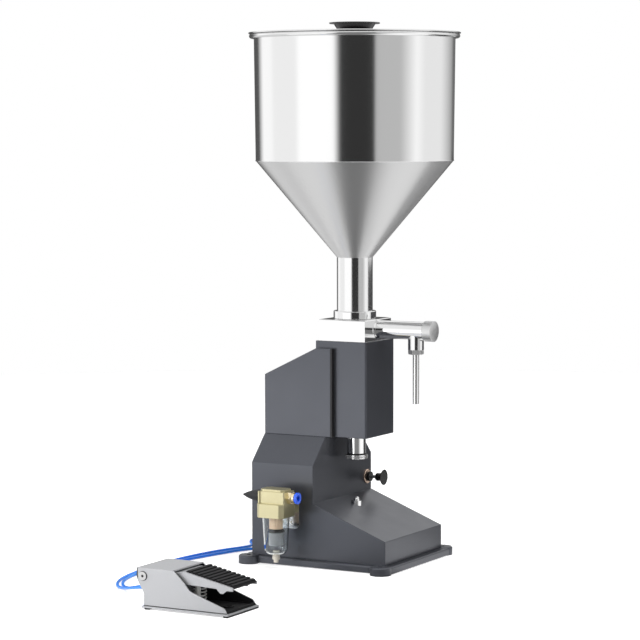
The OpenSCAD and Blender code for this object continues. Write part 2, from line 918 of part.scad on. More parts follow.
module dosing_piston() {
  color(white_plastic)
    translate([0, rod_y, dose_piston_z])
      difference() {
        cylinder(r = dose_r - run_fit, h = dose_piston_t);
        seal_groove(dose_r, dose_piston_t / 2);
        translate([0, 0, -cut])
          cylinder(r = stud_r + run_fit, h = stud_len + cut);
      }
}

module air_piston() {
  color(alloy)
    translate([0, rod_y, air_piston_z])
      difference() {
        cylinder(r = air_r - run_fit, h = air_piston_t);
        seal_groove(air_r, air_piston_t / 2);
        translate([0, 0, -cut])
          cylinder(r = tail_r + run_fit, h = air_piston_t + 2 * cut);
      }
}

module seal_groove(r, z) {
  translate([0, 0, z - seal_r])
    ring(r + cut, r - 2 * seal_r, 2 * seal_r);
}

// Rubber rings in the grooves of both pistons
module piston_seals() {
  color(black)
    translate([0, rod_y, 0]) {
      translate([0, 0, dose_piston_z + dose_piston_t / 2])
        seal_ring(dose_r);
      translate([0, 0, air_piston_z + air_piston_t / 2])
        seal_ring(air_r);
    }
}

module seal_ring(r) {
  rotate_extrude()
    translate([r - seal_r - run_fit, 0])
      circle(seal_r - run_fit);
}

tail_point_h = 2.6;
tail_point_step = 1.2;

module piston_rod() {
  color(bright_steel)
    translate([0, rod_y, 0]) {
      translate([0, 0, air_piston_z + air_piston_t])
        cylinder(r = rod_r, h = dose_piston_z - air_piston_z - air_piston_t);
      translate([0, 0, dose_piston_z])
        cylinder(r = stud_r, h = stud_len - run_fit);
      translate([0, 0, tail_end_z + tail_point_h])
        cylinder(r = tail_r, h = air_piston_z + air_piston_t - tail_end_z - tail_point_h);
      translate([0, 0, tail_end_z])
        cylinder(r = tail_r - tail_point_step, h = tail_point_h);
    }
}

module air_barrel() {
  color(alloy)
    translate([0, rod_y, air_low_z])
      ring(head_r, air_r, air_h);
}

// Lower head of the air cylinder, and the gland between its chamber and the dosing one
module barrel_heads() {
  color(alloy)
    translate([0, rod_y, 0]) {
      translate([0, 0, gland_z])
        ring(head_r, rod_r + run_fit, gland_t);
      translate([0, 0, column_top_z + box_floor])
        difference() {
          ring(head_r, tail_r + run_fit, low_head_t);
          for (i = [-1, 1])
            translate([i * cap_screw_pitch, 0, -cut])
              cylinder(r = small_screw_r + run_fit, h = cap_screw_bite + cut);
        }
    }
}

// STROKE SLEEVE AND STOP

tail_reach = 1.9;
ring_reach = 2.05;
ring_low_z = column_top_z - sleeve_len;
ring_r = sleeve_r + ring_reach;
tail_end_z = ring_low_z - tail_reach;
thread_step = 2.4;

module neck_sleeve() {
  color(bright_steel)
    translate([0, rod_y, 0])
      difference() {
        union() {
          translate([0, 0, ring_low_z + ring_h])
            cylinder(r = sleeve_r, h = column_top_z + box_floor - ring_low_z - ring_h);
          translate([0, 0, ring_low_z])
            cylinder(r = sleeve_r - thread_step, h = ring_h);
        }
        translate([0, 0, ring_low_z - cut])
          cylinder(r = tail_r + run_fit, h = column_top_z);
      }
}

ring_groove = 0.9;
ring_flange_share = 0.36;

module adjusting_ring() {
  flange = ring_h * ring_flange_share;
  color(steel)
    translate([0, rod_y, ring_low_z])
      rotate_extrude()
        polygon([[sleeve_r - thread_step + run_fit, 0], [ring_r, 0], [ring_r, flange],
          [ring_r - ring_groove, flange], [ring_r - ring_groove, ring_h - flange],
          [ring_r, ring_h - flange], [ring_r, ring_h - run_fit],
          [sleeve_r - thread_step + run_fit, ring_h - run_fit]]);
}

cap_screw_r = 3.8;
cap_screw_h = 4.6;
cap_screw_out = 7.5;
cap_screw_pitch = ring_r + cap_screw_out;
small_screw_r = 2;
small_head_r = 3.4;
small_head_h = 2.2;
cap_screw_bite = 5;

// Two dome screws under the box and four screws that hold the filter bracket
module screws() {
  color(steel) {
    for (i = [-1, 1])
      translate([i * cap_screw_pitch, rod_y, column_top_z]) {
        cylinder(r = small_screw_r, h = box_floor + cap_screw_bite - seat_gap);
        translate([0, 0, -cap_screw_h])
          dome(cap_screw_r, cap_screw_h);
      }
    for (p = bracket_holes)
      translate([wall_x - bracket_t, p[0], p[1]])
        rotate([0, 90, 0]) {
          cylinder(r = small_screw_r, h = bracket_t + housing_wall + small_head_h);
          translate([0, 0, -small_head_h])
            dome(small_head_r, small_head_h);
        }
  }
}

// A domed head whose crown points down
module dome(r, h) {
  ball = (r * r + h * h) / (2 * h);
  intersection() {
    cylinder(r = r, h = h);
    translate([0, 0, ball])
      sphere(ball);
  }
}

stop_dome_r = 4;
stop_flange_t = 5;
stop_shoulder_h = 5.5;
stop_top_z = wedge_z(rod_y) + stop_rise;

module stop_bolt() {
  step_z = stop_top_z - stop_shoulder_h;
  color(bright_steel)
    translate([0, rod_y, 0]) {
      translate([0, 0, stop_boss_z - stop_flange_t])
        cylinder(r = stop_boss_r, h = stop_flange_t, $fn = 6);
      translate([0, 0, stop_boss_z])
        cylinder(r = stop_r, h = step_z - stop_boss_z);
      translate([0, 0, step_z])
        cylinder(r = stop_dome_r, h = stop_shoulder_h - stop_dome_r);
      translate([0, 0, stop_top_z - stop_dome_r])
        sphere(stop_dome_r);
    }
}

// AIR FILTER

filter_x = wall_x - filter_reach;
bowl_low_z = drain_low_z + drain_len;
head_low_z = bowl_low_z + bowl_len;
head_step_z = head_low_z + head_low_h;
head_top_z = head_step_z + head_up_h;
head_low_w = 2 * (bowl_r + head_wall);
port_z = head_top_z - port_drop;
element_low_z = head_low_z - element_len;
bowl_low_r = bowl_r - bowl_taper;
bracket_low_z = head_low_z - bracket_drop;
bracket_top_z = head_step_z + bracket_rise;
bracket_t = 2;
bracket_hole_dy = 11;
bracket_hole_dz = 10;
bracket_hole_rise = 7;
bracket_hole_z = bracket_low_z + bracket_hole_rise;
bracket_holes = [for (i = [-1, 1]) for (j = [0, 1])
  [filter_y + i * bracket_hole_dy / 2, bracket_hole_z + j * bracket_hole_dz]];
bracket_corner_r = 6;
head_back_x = filter_x + head_up_w / 2;

module filter_bracket() {
  color(sheet_steel)
    difference() {
      union() {
        intersection() {
          translate([wall_x - bracket_t, filter_y, bracket_low_z])
            rotate([0, 90, 0])
              translate([-bracket_w, 0, 0])
                linear_extrude(bracket_t)
                  round_rect(2 * bracket_w, bracket_w, bracket_corner_r);
          translate([wall_x - bracket_w, filter_y - bracket_w, bracket_low_z - cut])
            cube([2 * bracket_w, 2 * bracket_w, bracket_top_z - bracket_low_z + cut]);
        }
        translate([head_back_x, filter_y - bracket_w / 2, bracket_top_z - bracket_t])
          cube([wall_x - head_back_x, bracket_w, bracket_t]);
        translate([head_back_x, filter_y - bracket_w / 2, head_step_z + seat_gap])
          cube([bracket_t, bracket_w, bracket_top_z - head_step_z - seat_gap]);
      }
      for (p = bracket_holes)
        translate([wall_x - bracket_t - cut, p[0], p[1]])
          rotate([0, 90, 0])
            cylinder(r = small_screw_r + run_fit, h = bracket_t + 2 * cut);
    }
}

head_chamfer = 5;
head_slot = 3;
head_slot_depth = 1.5;
head_slot_in = 4.5;
head_cap_h = 3;
head_cap_inset = 4;
bowl_socket_h = 6;
port_wall = 1.45;
port_bore_r = hose_port_r + port_wall;

module filter_head() {
  color(gold_cream)
    translate([filter_x, filter_y, 0])
      difference() {
        union() {
          translate([0, 0, head_low_z])
            linear_extrude(head_step_z - head_low_z)
              chamfered_rect(head_low_w, head_l, head_chamfer);
          translate([0, 0, head_step_z])
            linear_extrude(head_top_z - head_step_z - head_cap_h)
              chamfered_rect(head_up_w, head_l, block_bevel);
          translate([0, 0, head_top_z - head_cap_h])
            linear_extrude(head_cap_h)
              chamfered_rect(head_up_w - head_cap_inset, head_l - head_cap_inset,
                head_cap_inset);
        }
        // groove across the upper block beside its rear port
        for (i = [-1, 1])
          translate([i * head_up_w / 2, head_l / 2 - head_slot_in,
            (head_step_z + head_top_z) / 2])
            cube([2 * head_slot_depth, head_slot, head_top_z - head_step_z + cut],
              center = true);
        translate([0, 0, head_low_z - cut])
          cylinder(r = bowl_r + run_fit, h = bowl_socket_h + cut);
        translate([0, 0, head_low_z])
          cylinder(r = element_r + run_fit, h = element_bite);
        toward_front(0, -head_l / 2 + port_depth, port_z)
          cylinder(r = port_bore_r + run_fit, h = port_depth + cut);
        toward_rear(0, head_l / 2 - port_depth, port_z)
          cylinder(r = port_bore_r + run_fit, h = port_depth + cut);
      }
}

port_depth = 8;
element_bite = 10;

module chamfered_rect(w, l, c) {
  polygon([[-w / 2, c - l / 2], [c - w / 2, -l / 2], [w / 2 - c, -l / 2], [w / 2, c - l / 2],
    [w / 2, l / 2 - c], [w / 2 - c, l / 2], [c - w / 2, l / 2], [-w / 2, l / 2 - c]]);
}

element_flutes = 12;
element_flute_r = 0.8;

module filter_element() {
  color(sinter_tan)
    translate([filter_x, filter_y, element_low_z])
      difference() {
        cylinder(r = element_r, h = head_low_z + element_bite - element_low_z - seat_gap);
        for (k = [0:element_flutes - 1])
          rotate([0, 0, k * 360 / element_flutes])
            translate([element_r + element_flute_r / 2, 0, -cut])
              cylinder(r = element_flute_r, h = head_low_z - element_low_z + cut,
                $fn = 8);
      }
}

baffle_reach = 2.6;
baffle_h = 5;
baffle_r = element_r + baffle_reach;
baffle_lip = 1.5;

module element_baffle() {
  color(black)
    translate([filter_x, filter_y, element_low_z - baffle_h])
      rotate_extrude()
        polygon([[0, 0], [baffle_r - baffle_lip, 0], [baffle_r, baffle_lip],
          [baffle_r, baffle_h - baffle_lip], [baffle_r - baffle_lip, baffle_h], [0, baffle_h]]);
}

cup_reach = 0.7;
cup_t = 1;
cup_r = element_r + cup_reach;

module filter_cup() {
  color(frosted)
    translate([filter_x, filter_y, element_low_z - baffle_h - cup_h])
      ring(cup_r, cup_r - cup_t, cup_h);
}

bowl_round = 8;
drain_stem_r = 3;

module filter_bowl() {
  color(clear)
    translate([filter_x, filter_y, 0])
      difference() {
        rotate_extrude()
          difference() {
            bowl_shape(0);
            bowl_shape(bowl_t);
          }
        translate([0, 0, bowl_low_z - cut])
          cylinder(r = drain_stem_r + run_fit, h = bowl_round);
      }
}

// Half section of the bowl: a tapered wall on a round bottom
module bowl_shape(inset) {
  low = bowl_low_z + inset;
  top = head_low_z + bowl_socket_h - seat_gap + (inset > 0 ? cut : 0);
  corner = bowl_round - inset;
  polygon([[0, low + corner], [bowl_low_r - inset, low + corner], [bowl_r - inset, head_low_z],
    [bowl_r - inset, top], [0, top]]);
  translate([0, low])
    square([bowl_low_r - inset - corner, corner]);
  intersection() {
    translate([bowl_low_r - inset - corner, low + corner])
      circle(corner);
    translate([0, low])
      square([bowl_low_r, corner]);
  }
}

drain_tip_r = 3.2;
drain_tip_h = 4;
drain_ribs = 8;
drain_rib_r = 0.6;
drain_collar_r = 4.4;
drain_collar_h = 3;

module drain_valve() {
  color(drain_grey)
    translate([filter_x, filter_y, 0]) {
      translate([0, 0, drain_low_z])
        cylinder(r = drain_tip_r, h = drain_tip_h);
      translate([0, 0, drain_low_z + drain_tip_h])
        difference() {
          cylinder(r = drain_r, h = bowl_low_z - seat_gap - drain_low_z - drain_tip_h);
          for (k = [0:drain_ribs - 1])
            rotate([0, 0, k * 360 / drain_ribs])
              translate([drain_r, 0, -cut])
                cylinder(r = drain_rib_r, h = bowl_low_z, $fn = 8);
        }
      translate([0, 0, bowl_low_z - seat_gap])
        cylinder(r = drain_stem_r, h = bowl_t + 2 * seat_gap);
      translate([0, 0, bowl_low_z + bowl_t + seat_gap])
        cylinder(r = drain_collar_r, h = drain_collar_h);
    }
}

cone_neck_r = 6.2;
cone_neck_len = 2;
// radius and distance along the cone, from its widest ring to its tip
cone_shares = [[1, 0.22], [0.82, 0.5], [0.48, 0.78], [0.12, 1]];

// Pointed rubber cap over the male air coupler
module inlet_cap() {
  color(black)
    toward_rear(filter_x, filter_y + head_l / 2, port_z)
      rotate_extrude()
        polygon([[0, seat_gap - port_depth], [port_bore_r, seat_gap - port_depth],
          [port_bore_r, 0], [cone_neck_r, 0], [cone_neck_r, cone_neck_len],
          [cone_cap_r, cone_neck_len], for (s = cone_shares) [cone_cap_r * s[0],
          cone_cap_len * s[1]], [0, cone_cap_len]]);
}

brass_hex_len = 5.5;
brass_body_t = 1.2;
brass_body_len = 4;
hose_port_depth = 10;
release_len = 3;
release_neck_t = 1.15;
release_neck_r = hose_port_r + release_neck_t;
brass_body_r = release_neck_r + brass_body_t;
release_step = 1.1;
release_r = brass_body_r + release_step;
release_bite = 3.6;
release_travel = 1.5;

module outlet_fitting() {
  color(brass)
    toward_front(filter_x, filter_y - head_l / 2, port_z)
      difference() {
        union() {
          translate([0, 0, seat_gap - port_depth])
            cylinder(r = port_bore_r, h = port_depth - seat_gap);
          cylinder(r = brass_af / sqrt(3), h = brass_hex_len, $fn = 6);
          translate([0, 0, brass_hex_len])
            cylinder(r = brass_body_r, h = brass_body_len);
        }
        translate([0, 0, brass_hex_len + brass_body_len - hose_port_depth])
          cylinder(r = hose_port_r, h = hose_port_depth + cut);
        translate([0, 0, brass_hex_len + brass_body_len - release_bite])
          cylinder(r = release_neck_r + run_fit, h = release_bite + cut);
      }
}

// Blue ring that frees the hose when it is pressed in
module release_ring() {
  color(fitting_blue)
    toward_front(filter_x, filter_y - head_l / 2 - brass_hex_len - brass_body_len, port_z)
      difference() {
        union() {
          translate([0, 0, release_travel + run_fit - release_bite])
            cylinder(r = release_neck_r, h = release_bite);
          translate([0, 0, release_travel + run_fit])
            cylinder(r = release_r, h = release_len);
        }
        translate([0, 0, -release_bite])
          cylinder(r = hose_port_r, h = 2 * release_bite + release_len);
      }
}

// HAND VALVE

valve_collar_r = 6.6;
valve_collar_len = 4.8;
ring_nut_t = 2;
stem_r = 2.2;
valve_x = housing_w / 2 - valve_inset;
valve_z = wedge_rear_z + valve_rise;
valve_nose_step = 0.6;
valve_nose_r = valve_collar_r - valve_nose_step;
nut_crown_shares = [1.3, 0.94];
valve_body_w = 18;
valve_body_l = 34;
valve_body_h = 26;
stem_depth = 20;

module hand_valve() {
  front = column_front_y + housing_wall;
  color(black)
    difference() {
      union() {
        translate([valve_x - valve_body_w / 2, front, valve_z - valve_body_h / 2])
          cube([valve_body_w, valve_body_l, valve_body_h]);
        toward_front(valve_x, front, valve_z)
          cylinder(r = valve_nose_r, h = housing_wall + ring_nut_t);
        toward_front(valve_x, column_front_y - ring_nut_t, valve_z)
          cylinder(r = valve_collar_r, h = valve_collar_len);
      }
      toward_front(valve_x, front + stem_depth, valve_z)
        cylinder(r = stem_r + run_fit, h = stem_depth + valve_body_l);
    }
}

module valve_ring_nut() {
  color(copper)
    toward_front(valve_x, column_front_y, valve_z)
      difference() {
        intersection() {
          cylinder(r = ring_nut_r, h = ring_nut_t);
          cylinder(r1 = ring_nut_r * nut_crown_shares[0],
            r2 = ring_nut_r * nut_crown_shares[1], h = ring_nut_t);
        }
        translate([0, 0, -cut])
          cylinder(r = valve_nose_r + run_fit, h = ring_nut_t + 2 * cut);
      }
}

pull_neck_r = 5.4;
stem_gap = 8.3;
stem_bite = 4;
// radius as a share of the neck's or the flare's, and distance along the knob
pull_neck_shares = [[0.86, 0], [1, 0.1], [1, 0.5], [1.15, 0.6]];
pull_flare_shares = [[0.72, 0.75], [0.97, 0.93], [1, 0.97], [0.96, 1]];

module pull_knob() {
  collar_y = column_front_y - ring_nut_t - valve_collar_len;
  inner = column_front_y + housing_wall + stem_depth - knob_travel - end_gap;
  color(black) {
    toward_front(valve_x, inner, valve_z)
      cylinder(r = stem_r, h = inner - collar_y + stem_gap + stem_bite);
    toward_front(valve_x, collar_y - stem_gap, valve_z)
      rotate_extrude()
        polygon([[0, 0], for (s = pull_neck_shares) [pull_neck_r * s[0], pull_len * s[1]],
          for (s = pull_flare_shares) [pull_r * s[0], pull_len * s[1]], [0, pull_len]]);
  }
}

// FOOT PEDAL

pedal_front_y = pedal_rear_y - pedal_l;
pedal_roof_y = pedal_rear_y - pedal_roof_l;
pivot_y = pedal_rear_y - pivot_inset;
pivot_z = pedal_top_z - pivot_drop;
pedal_floor_z = pedal_foot_h + pedal_t;
heel_r = 6.5;
pedal_heel_in = 9.4;
pedal_rear_foot_y = pedal_rear_y - pedal_heel_in;
pedal_neck_drop = 20.5;
pedal_neck_z = pivot_z - pedal_neck_drop;
pedal_throat_z = pivot_z - heel_r;
// distance along the side plate and height above its floor, down to its front end
side_drop_shares = [[0.035, 0.14], [0.372, 0.455], [0.418, 0.51], [0.47, 0.68]];

// Outline of a side plate, seen from the pedal's left
function side_outline() = [
  [pedal_rear_foot_y, pedal_floor_z], [pedal_rear_foot_y, pedal_neck_z],
  [pedal_rear_y - pedal_t / 2, pedal_throat_z], [pedal_rear_y + pedal_t / 2, pivot_z],
  [pedal_rear_y, pedal_top_z], [pedal_roof_y, pedal_top_z],
  for (k = [3:-1:0]) [pedal_front_y + side_drop_shares[k][0] * (pedal_rear_y - pedal_front_y),
    pedal_floor_z + side_drop_shares[k][1] * (pedal_top_z - pedal_floor_z)],
  [pedal_front_y, pedal_floor_z]];

module side_plate(x, t) {
  translate([x, 0, 0])
    rotate([90, 0, 90])
      linear_extrude(t)
        polygon(side_outline());
}

module pedal_housing() {
  left = pedal_x - pedal_w / 2;
  color(sheet_steel)
    difference() {
      union() {
        side_plate(left, pedal_t);
        side_plate(left + pedal_w - pedal_t, pedal_t);
        translate([left, pedal_roof_y, pedal_top_z - pedal_t])
          cube([pedal_w, pedal_rear_y - pedal_roof_y, pedal_t]);
      }
      translate([left - cut, pivot_y, pivot_z])
        rotate([0, 90, 0])
          cylinder(r = pivot_r + run_fit, h = pedal_w + 2 * cut);
    }
}

base_flare = 2;

module pedal_base() {
  color(sheet_steel)
    translate([pedal_x - pedal_w / 2 - base_flare, pedal_front_y - base_flare, pedal_foot_h])
      cube([pedal_w + 2 * base_flare, pedal_rear_foot_y - pedal_front_y + 2 * base_flare,
        pedal_t]);
}

mat_t = 1.6;
mat_rim = 2.4;
mat_rim_h = 3;
mat_w = pedal_w - 2 * pedal_t - 2 * seat_gap;
mat_l = 74;
mat_boss_r = 7;
mat_boss_in = 18.5;

module pedal_mat() {
  front = pedal_front_y + seat_gap;
  color(black)
    translate([pedal_x, front + mat_l / 2, pedal_floor_z]) {
      linear_extrude(mat_t)
        square([mat_w, mat_l], center = true);
      linear_extrude(mat_rim_h)
        difference() {
          square([mat_w, mat_l], center = true);
          square([mat_w - 2 * mat_rim, mat_l - 2 * mat_rim], center = true);
        }
      translate([0, mat_boss_in - mat_l / 2, 0])
        ring(mat_boss_r, mat_boss_r - mat_rim, mat_rim_h);
    }
}

foot_l = 6;
foot_in = 8;

module pedal_feet() {
  color(black)
    for (y = [pedal_front_y - base_flare, pedal_rear_foot_y - foot_in])
      translate([pedal_x - pedal_w / 2 - base_flare, y, 0])
        cube([pedal_w + 2 * base_flare, foot_l, pedal_foot_h]);
}

tread_t = 1.8;
tread_side = 4;
tread_w = pedal_w - 2 * pedal_t - 2 * tread_side;
deck_gap = 1.5;
deck_lap = 5;
deck_drop = 1.8;
tread_deck_z = pedal_top_z - pedal_t - deck_gap;
tread_flat_y = pedal_roof_y - deck_lap;
tread_rear_y = pedal_roof_y - tread_gap;
tread_front_y = pedal_front_y - tread_reach;
tread_rear_z = pedal_top_z - tread_drop;
tread_front_z = tread_rear_z - tread_fall;
heel_top_z = pivot_z + heel_r - tread_t / 2;
flange_h = 4;
flange_front_z = tread_front_z - flange_h;
bump_in = 15.5;
bump_y = tread_front_y + bump_in;
bump_w = 7;
bump_h = 4;
bump_rise = 1.35;

// Side flange of the treadle, with a bump toward the tray near its front
function flange_outline() = [
  [pivot_y, heel_top_z], [tread_flat_y, tread_deck_z],
  [tread_rear_y, tread_rear_z], [tread_front_y, tread_front_z],
  [tread_front_y, flange_front_z], [bump_y - bump_w, flange_front_z],
  [bump_y - bump_w / 4, flange_front_z - bump_h],
  [bump_y + bump_w / 4, flange_front_z - bump_h],
  [bump_y + bump_w, flange_front_z + bump_rise], [tread_rear_y, pivot_z - heel_r],
  [pivot_y, pivot_z - heel_r]];

function deck_outline() = [
  [pivot_y - heel_r, heel_top_z - deck_drop], [pivot_y - heel_r, heel_top_z],
  [tread_flat_y, tread_deck_z], [tread_rear_y, tread_rear_z], [tread_front_y, tread_front_z],
  [tread_front_y, tread_front_z - tread_t], [tread_rear_y, tread_rear_z - tread_t],
  [tread_flat_y, tread_deck_z - tread_t]];

module treadle() {
  left = pedal_x - tread_w / 2;
  color(sheet_steel)
    difference() {
      union() {
        for (x = [left, left + tread_w - tread_t])
          translate([x, 0, 0])
            rotate([90, 0, 90])
              linear_extrude(tread_t)
                union() {
                  polygon(flange_outline());
                  translate([pivot_y, pivot_z])
                    circle(heel_r);
                }
        translate([left, 0, 0])
          rotate([90, 0, 90])
            linear_extrude(tread_w)
              polygon(deck_outline());
      }
      translate([left - cut, pivot_y, pivot_z])
        rotate([0, 90, 0])
          cylinder(r = pivot_r + run_fit, h = tread_w + 2 * cut);
    }
}

tread_slope = atan2(tread_rear_z - tread_front_z, tread_rear_y - tread_front_y);
tread_len = (tread_rear_y - tread_front_y) / cos(tread_slope);
rib_pitch = tread_len / pad_ribs;
rib_share = 0.58;
pad_base_t = 1;
pad_inset = 3;
pad_w = tread_w - 2 * pad_inset;

// Ribbed rubber, its ribs across the treadle
module treadle_pad() {
  color(black)
    translate([pedal_x - pad_w / 2, tread_front_y, tread_front_z])
      rotate([tread_slope, 0, 0]) {
        cube([pad_w, tread_len, pad_base_t]);
        for (k = [0:pad_ribs - 1])
          translate([0, (k + (1 - rib_share) / 2) * rib_pitch, 0])
            cube([pad_w, rib_share * rib_pitch, pad_t]);
      }
}

pivot_head_r = 5.2;
pivot_head_t = 1.6;

module pedal_pivot() {
  left = pedal_x - pedal_w / 2;
  color(bright_steel)
    translate([left - pivot_head_t, pivot_y, pivot_z])
      rotate([0, 90, 0]) {
        cylinder(r = pivot_r, h = pedal_w + 2 * pivot_head_t);
        cylinder(r = pivot_head_r, h = pivot_head_t);
        translate([0, 0, pedal_w + pivot_head_t])
          cylinder(r = pivot_head_r, h = pivot_head_t);
      }
}

// Treadle plate height at a distance from the origin
function tread_z(y) = tread_front_z
  + (tread_rear_z - tread_front_z) * (y - tread_front_y) / (tread_rear_y - tread_front_y);

spring_turns = 9;
spring_y = tread_rear_y - spring_inset;

module return_spring() {
  low = pedal_floor_z + spring_wire_r + run_fit + mat_t;
  high = tread_z(spring_y - spring_r) - tread_t - spring_wire_r - seat_gap;
  color(spring_steel)
    translate([pedal_x, spring_y, 0])
      spring(spring_r, spring_wire_r, low, high, spring_turns);
}

valve_foot_w = 40;
valve_foot_in = 48.8;
valve_foot_y = pedal_rear_y - valve_foot_in;
valve_foot_l = 36;
valve_foot_h = 26;
plunger_in = 20;
plunger_y = valve_foot_y + plunger_in;
plunger_r = 3;
plunger_bite = 10;
plunger_travel = 3;

module foot_valve() {
  color(black)
    difference() {
      translate([pedal_x - valve_foot_w / 2, valve_foot_y, pedal_floor_z])
        cube([valve_foot_w, valve_foot_l, valve_foot_h]);
      translate([pedal_x, plunger_y, pedal_floor_z + valve_foot_h - plunger_bite])
        cylinder(r = plunger_r + run_fit, h = plunger_bite + cut);
      for (x = pedal_port_xs)
        toward_rear(x, valve_foot_y + valve_foot_l - port_thread_len, pedal_port_z)
          cylinder(r = port_thread_r + run_fit, h = port_thread_len + cut);
    }
}

// Height of the deck's underside over the plunger
function deck_under(y) = heel_top_z - deck_drop
  + (tread_deck_z - tread_t - heel_top_z + deck_drop)
  * (pivot_y - heel_r - y) / (pivot_y - heel_r - tread_flat_y);

module valve_plunger() {
  top = deck_under(plunger_y) - seat_gap;
  low = pedal_floor_z + valve_foot_h - plunger_bite + plunger_travel + end_gap;
  color(steel)
    translate([pedal_x, plunger_y, low])
      cylinder(r = plunger_r, h = top - low);
}

// HOSES AND FITTINGS

port_thread_r = 4;
port_thread_len = 5;
port_hex_r = 5.4;
port_hex_len = 4;
port_body_r = 4.6;
port_body_len = 8;

module push_fitting() {
  translate([0, 0, -port_thread_len + seat_gap])
    cylinder(r = port_thread_r, h = port_thread_len - seat_gap);
  cylinder(r = port_hex_r, h = port_hex_len, $fn = 6);
  translate([0, 0, port_hex_len])
    cylinder(r = port_body_r, h = port_body_len);
}

// Two fittings on the machine and two on the foot valve
module hose_fittings() {
  color(fitting_blue) {
    for (x = hose_port_xs)
      toward_rear(x, column_rear_y, port_low_z)
        push_fitting();
    for (x = pedal_port_xs)
      toward_rear(x, valve_foot_y + valve_foot_l, pedal_port_z)
        push_fitting();
  }
}

// Coil centres on the bench, turns wound in and out, and the heights of the two layers
coil_a = [60, 150];
coil_b = [121, 150];
turns_in = 2;
climb = 0.5;
turns_out_a = 2.25;
turns_out_b = 2;
coil_pitch = 2 * hose_r + coil_gap;
coil_start_r = coil_in_r + coil_pitch * turns_in;
machine_port_gap = 33;
pedal_port_gap = 12;
pedal_port_shift = 3;
hose_port_xs = [coil_a[0] - coil_start_r, coil_a[0] - coil_start_r + machine_port_gap];
pedal_port_xs = [pedal_x + pedal_port_shift - pedal_port_gap, pedal_x + pedal_port_shift];
layer_rise = 1.3;
layer_gap = 1.2;
layer_low = hose_r + layer_rise;
layer_step = 2 * hose_r + layer_gap;
layer_high = layer_low + layer_step;
hose_end = 2 * hose_r;
coil_steps = 24;
spring_steps = 8;

// Hand-laid routes of the free stretches, from the fittings on the machine to its coils
lead_a = [
  [33, 111, 28], [33, 114.5, 28], [33, 119, 26.6], [33, 124.5, 22], [33, 130, 16],
  [33, 135, 11], [33, 139, 8.9], [33, 142.5, 8.5], [33, 146, 8.5]];
lead_b = [
  [66, 111, 28], [66, 114, 28], [67, 117.5, 27.3], [70.5, 121.5, 25.2], [77, 125, 21.5],
  [86, 126.3, 17], [96, 125.4, 12.8], [105, 123.8, 9.8], [112, 123, 8.5], [117, 123, 8.5]];

// From the coils along the bench to the fittings on the pedal
run_a = [
  [56, 121.75, 3.3], [51, 121.75, 3.3], [42, 122, 2.9], [28, 123.8, 2.4], [14, 129.5, 2.1],
  [2, 139.5, 2.1], [-11, 148.5, 2.1], [-30, 156.5, 2.1], [-53, 163, 2.1], [-81, 170, 2.1],
  [-112, 177, 2.1], [-145, 182.5, 2.1], [-180, 184, 2.1], [-215, 182.5, 2.1],
  [-245, 179, 2.1], [-270, 174, 2.1], [-292, 166.5, 2.1], [-311, 156, 2.1],
  [-328, 143, 2.6], [-344, 128, 5], [-360, 111, 9], [-375, 93, 14], [-386, 76, 18.4],
  [-391.2, 65.5, 19.8], [-392, 59.5, 20], [-392, 56, 20]];
run_b = [
  [117, 177, 3.3], [112, 177, 3.3], [103, 177.2, 2.9], [90, 178.8, 2.4], [74, 181.4, 2.1],
  [56, 181.2, 2.1], [40, 173.2, 2.1], [28, 163.5, 2.1], [14, 159, 2.1], [-4, 162.5, 2.1],
  [-34, 174, 2.1], [-64, 181.4, 2.1], [-96, 187, 2.1], [-130, 190.5, 2.1],
  [-166, 191, 2.1], [-202, 189.5, 2.1], [-236, 186, 2.1], [-266, 181, 2.1],
  [-291, 173.5, 2.1], [-312, 163.5, 2.1], [-331, 150, 2.6], [-349, 133, 5],
  [-367, 113, 9.5], [-384, 92, 14.5], [-397, 74, 18.8], [-403, 64, 19.9],
  [-404, 59.5, 20], [-404, 56, 20]];

// Catmull-Rom curve through hand-laid points
function at(p, i) = p[max(0, min(len(p) - 1, i))];
function blend(a, b, c, d, t) = 0.5 * (2 * b + (c - a) * t + (2 * a - 5 * b + 4 * c - d) * t * t
  + (3 * b - a - 3 * c + d) * t * t * t);
function smooth(p, n) = concat(
  [for (i = [0:len(p) - 2]) for (k = [0:n - 1])
    blend(at(p, i - 1), at(p, i), at(p, i + 1), at(p, i + 2), k / n)],
  [p[len(p) - 1]]);

// Two-layer coil: in along the upper layer, down in half a turn, out along the lower one
function coil_point(c, start, spin, t) =
  let(down = t - turns_in,
    r = coil_in_r + coil_pitch * max(turns_in - t, down - climb, 0),
    z = layer_high - layer_step * max(0, min(1, down / climb)),
    a = start + spin * t * 360)
  [c[0] + r * cos(a), c[1] + r * sin(a), z];
function coil_path(c, start, spin, t_out) =
  let(total = turns_in + climb + t_out, n = ceil(total * coil_steps),
    turn = [for (k = [0:n]) coil_point(c, start, spin, total * k / n)],
    a = start + spin * total * 360)
  concat([turn[0] - hose_end * heading(start, spin)], turn,
    [turn[n] + hose_end * heading(a, spin)]);
function heading(a, spin) = spin * [-sin(a), cos(a), 0];

path_a = coil_path(coil_a, 180, -1, turns_out_a);
path_b = coil_path(coil_b, 270, 1, turns_out_b);

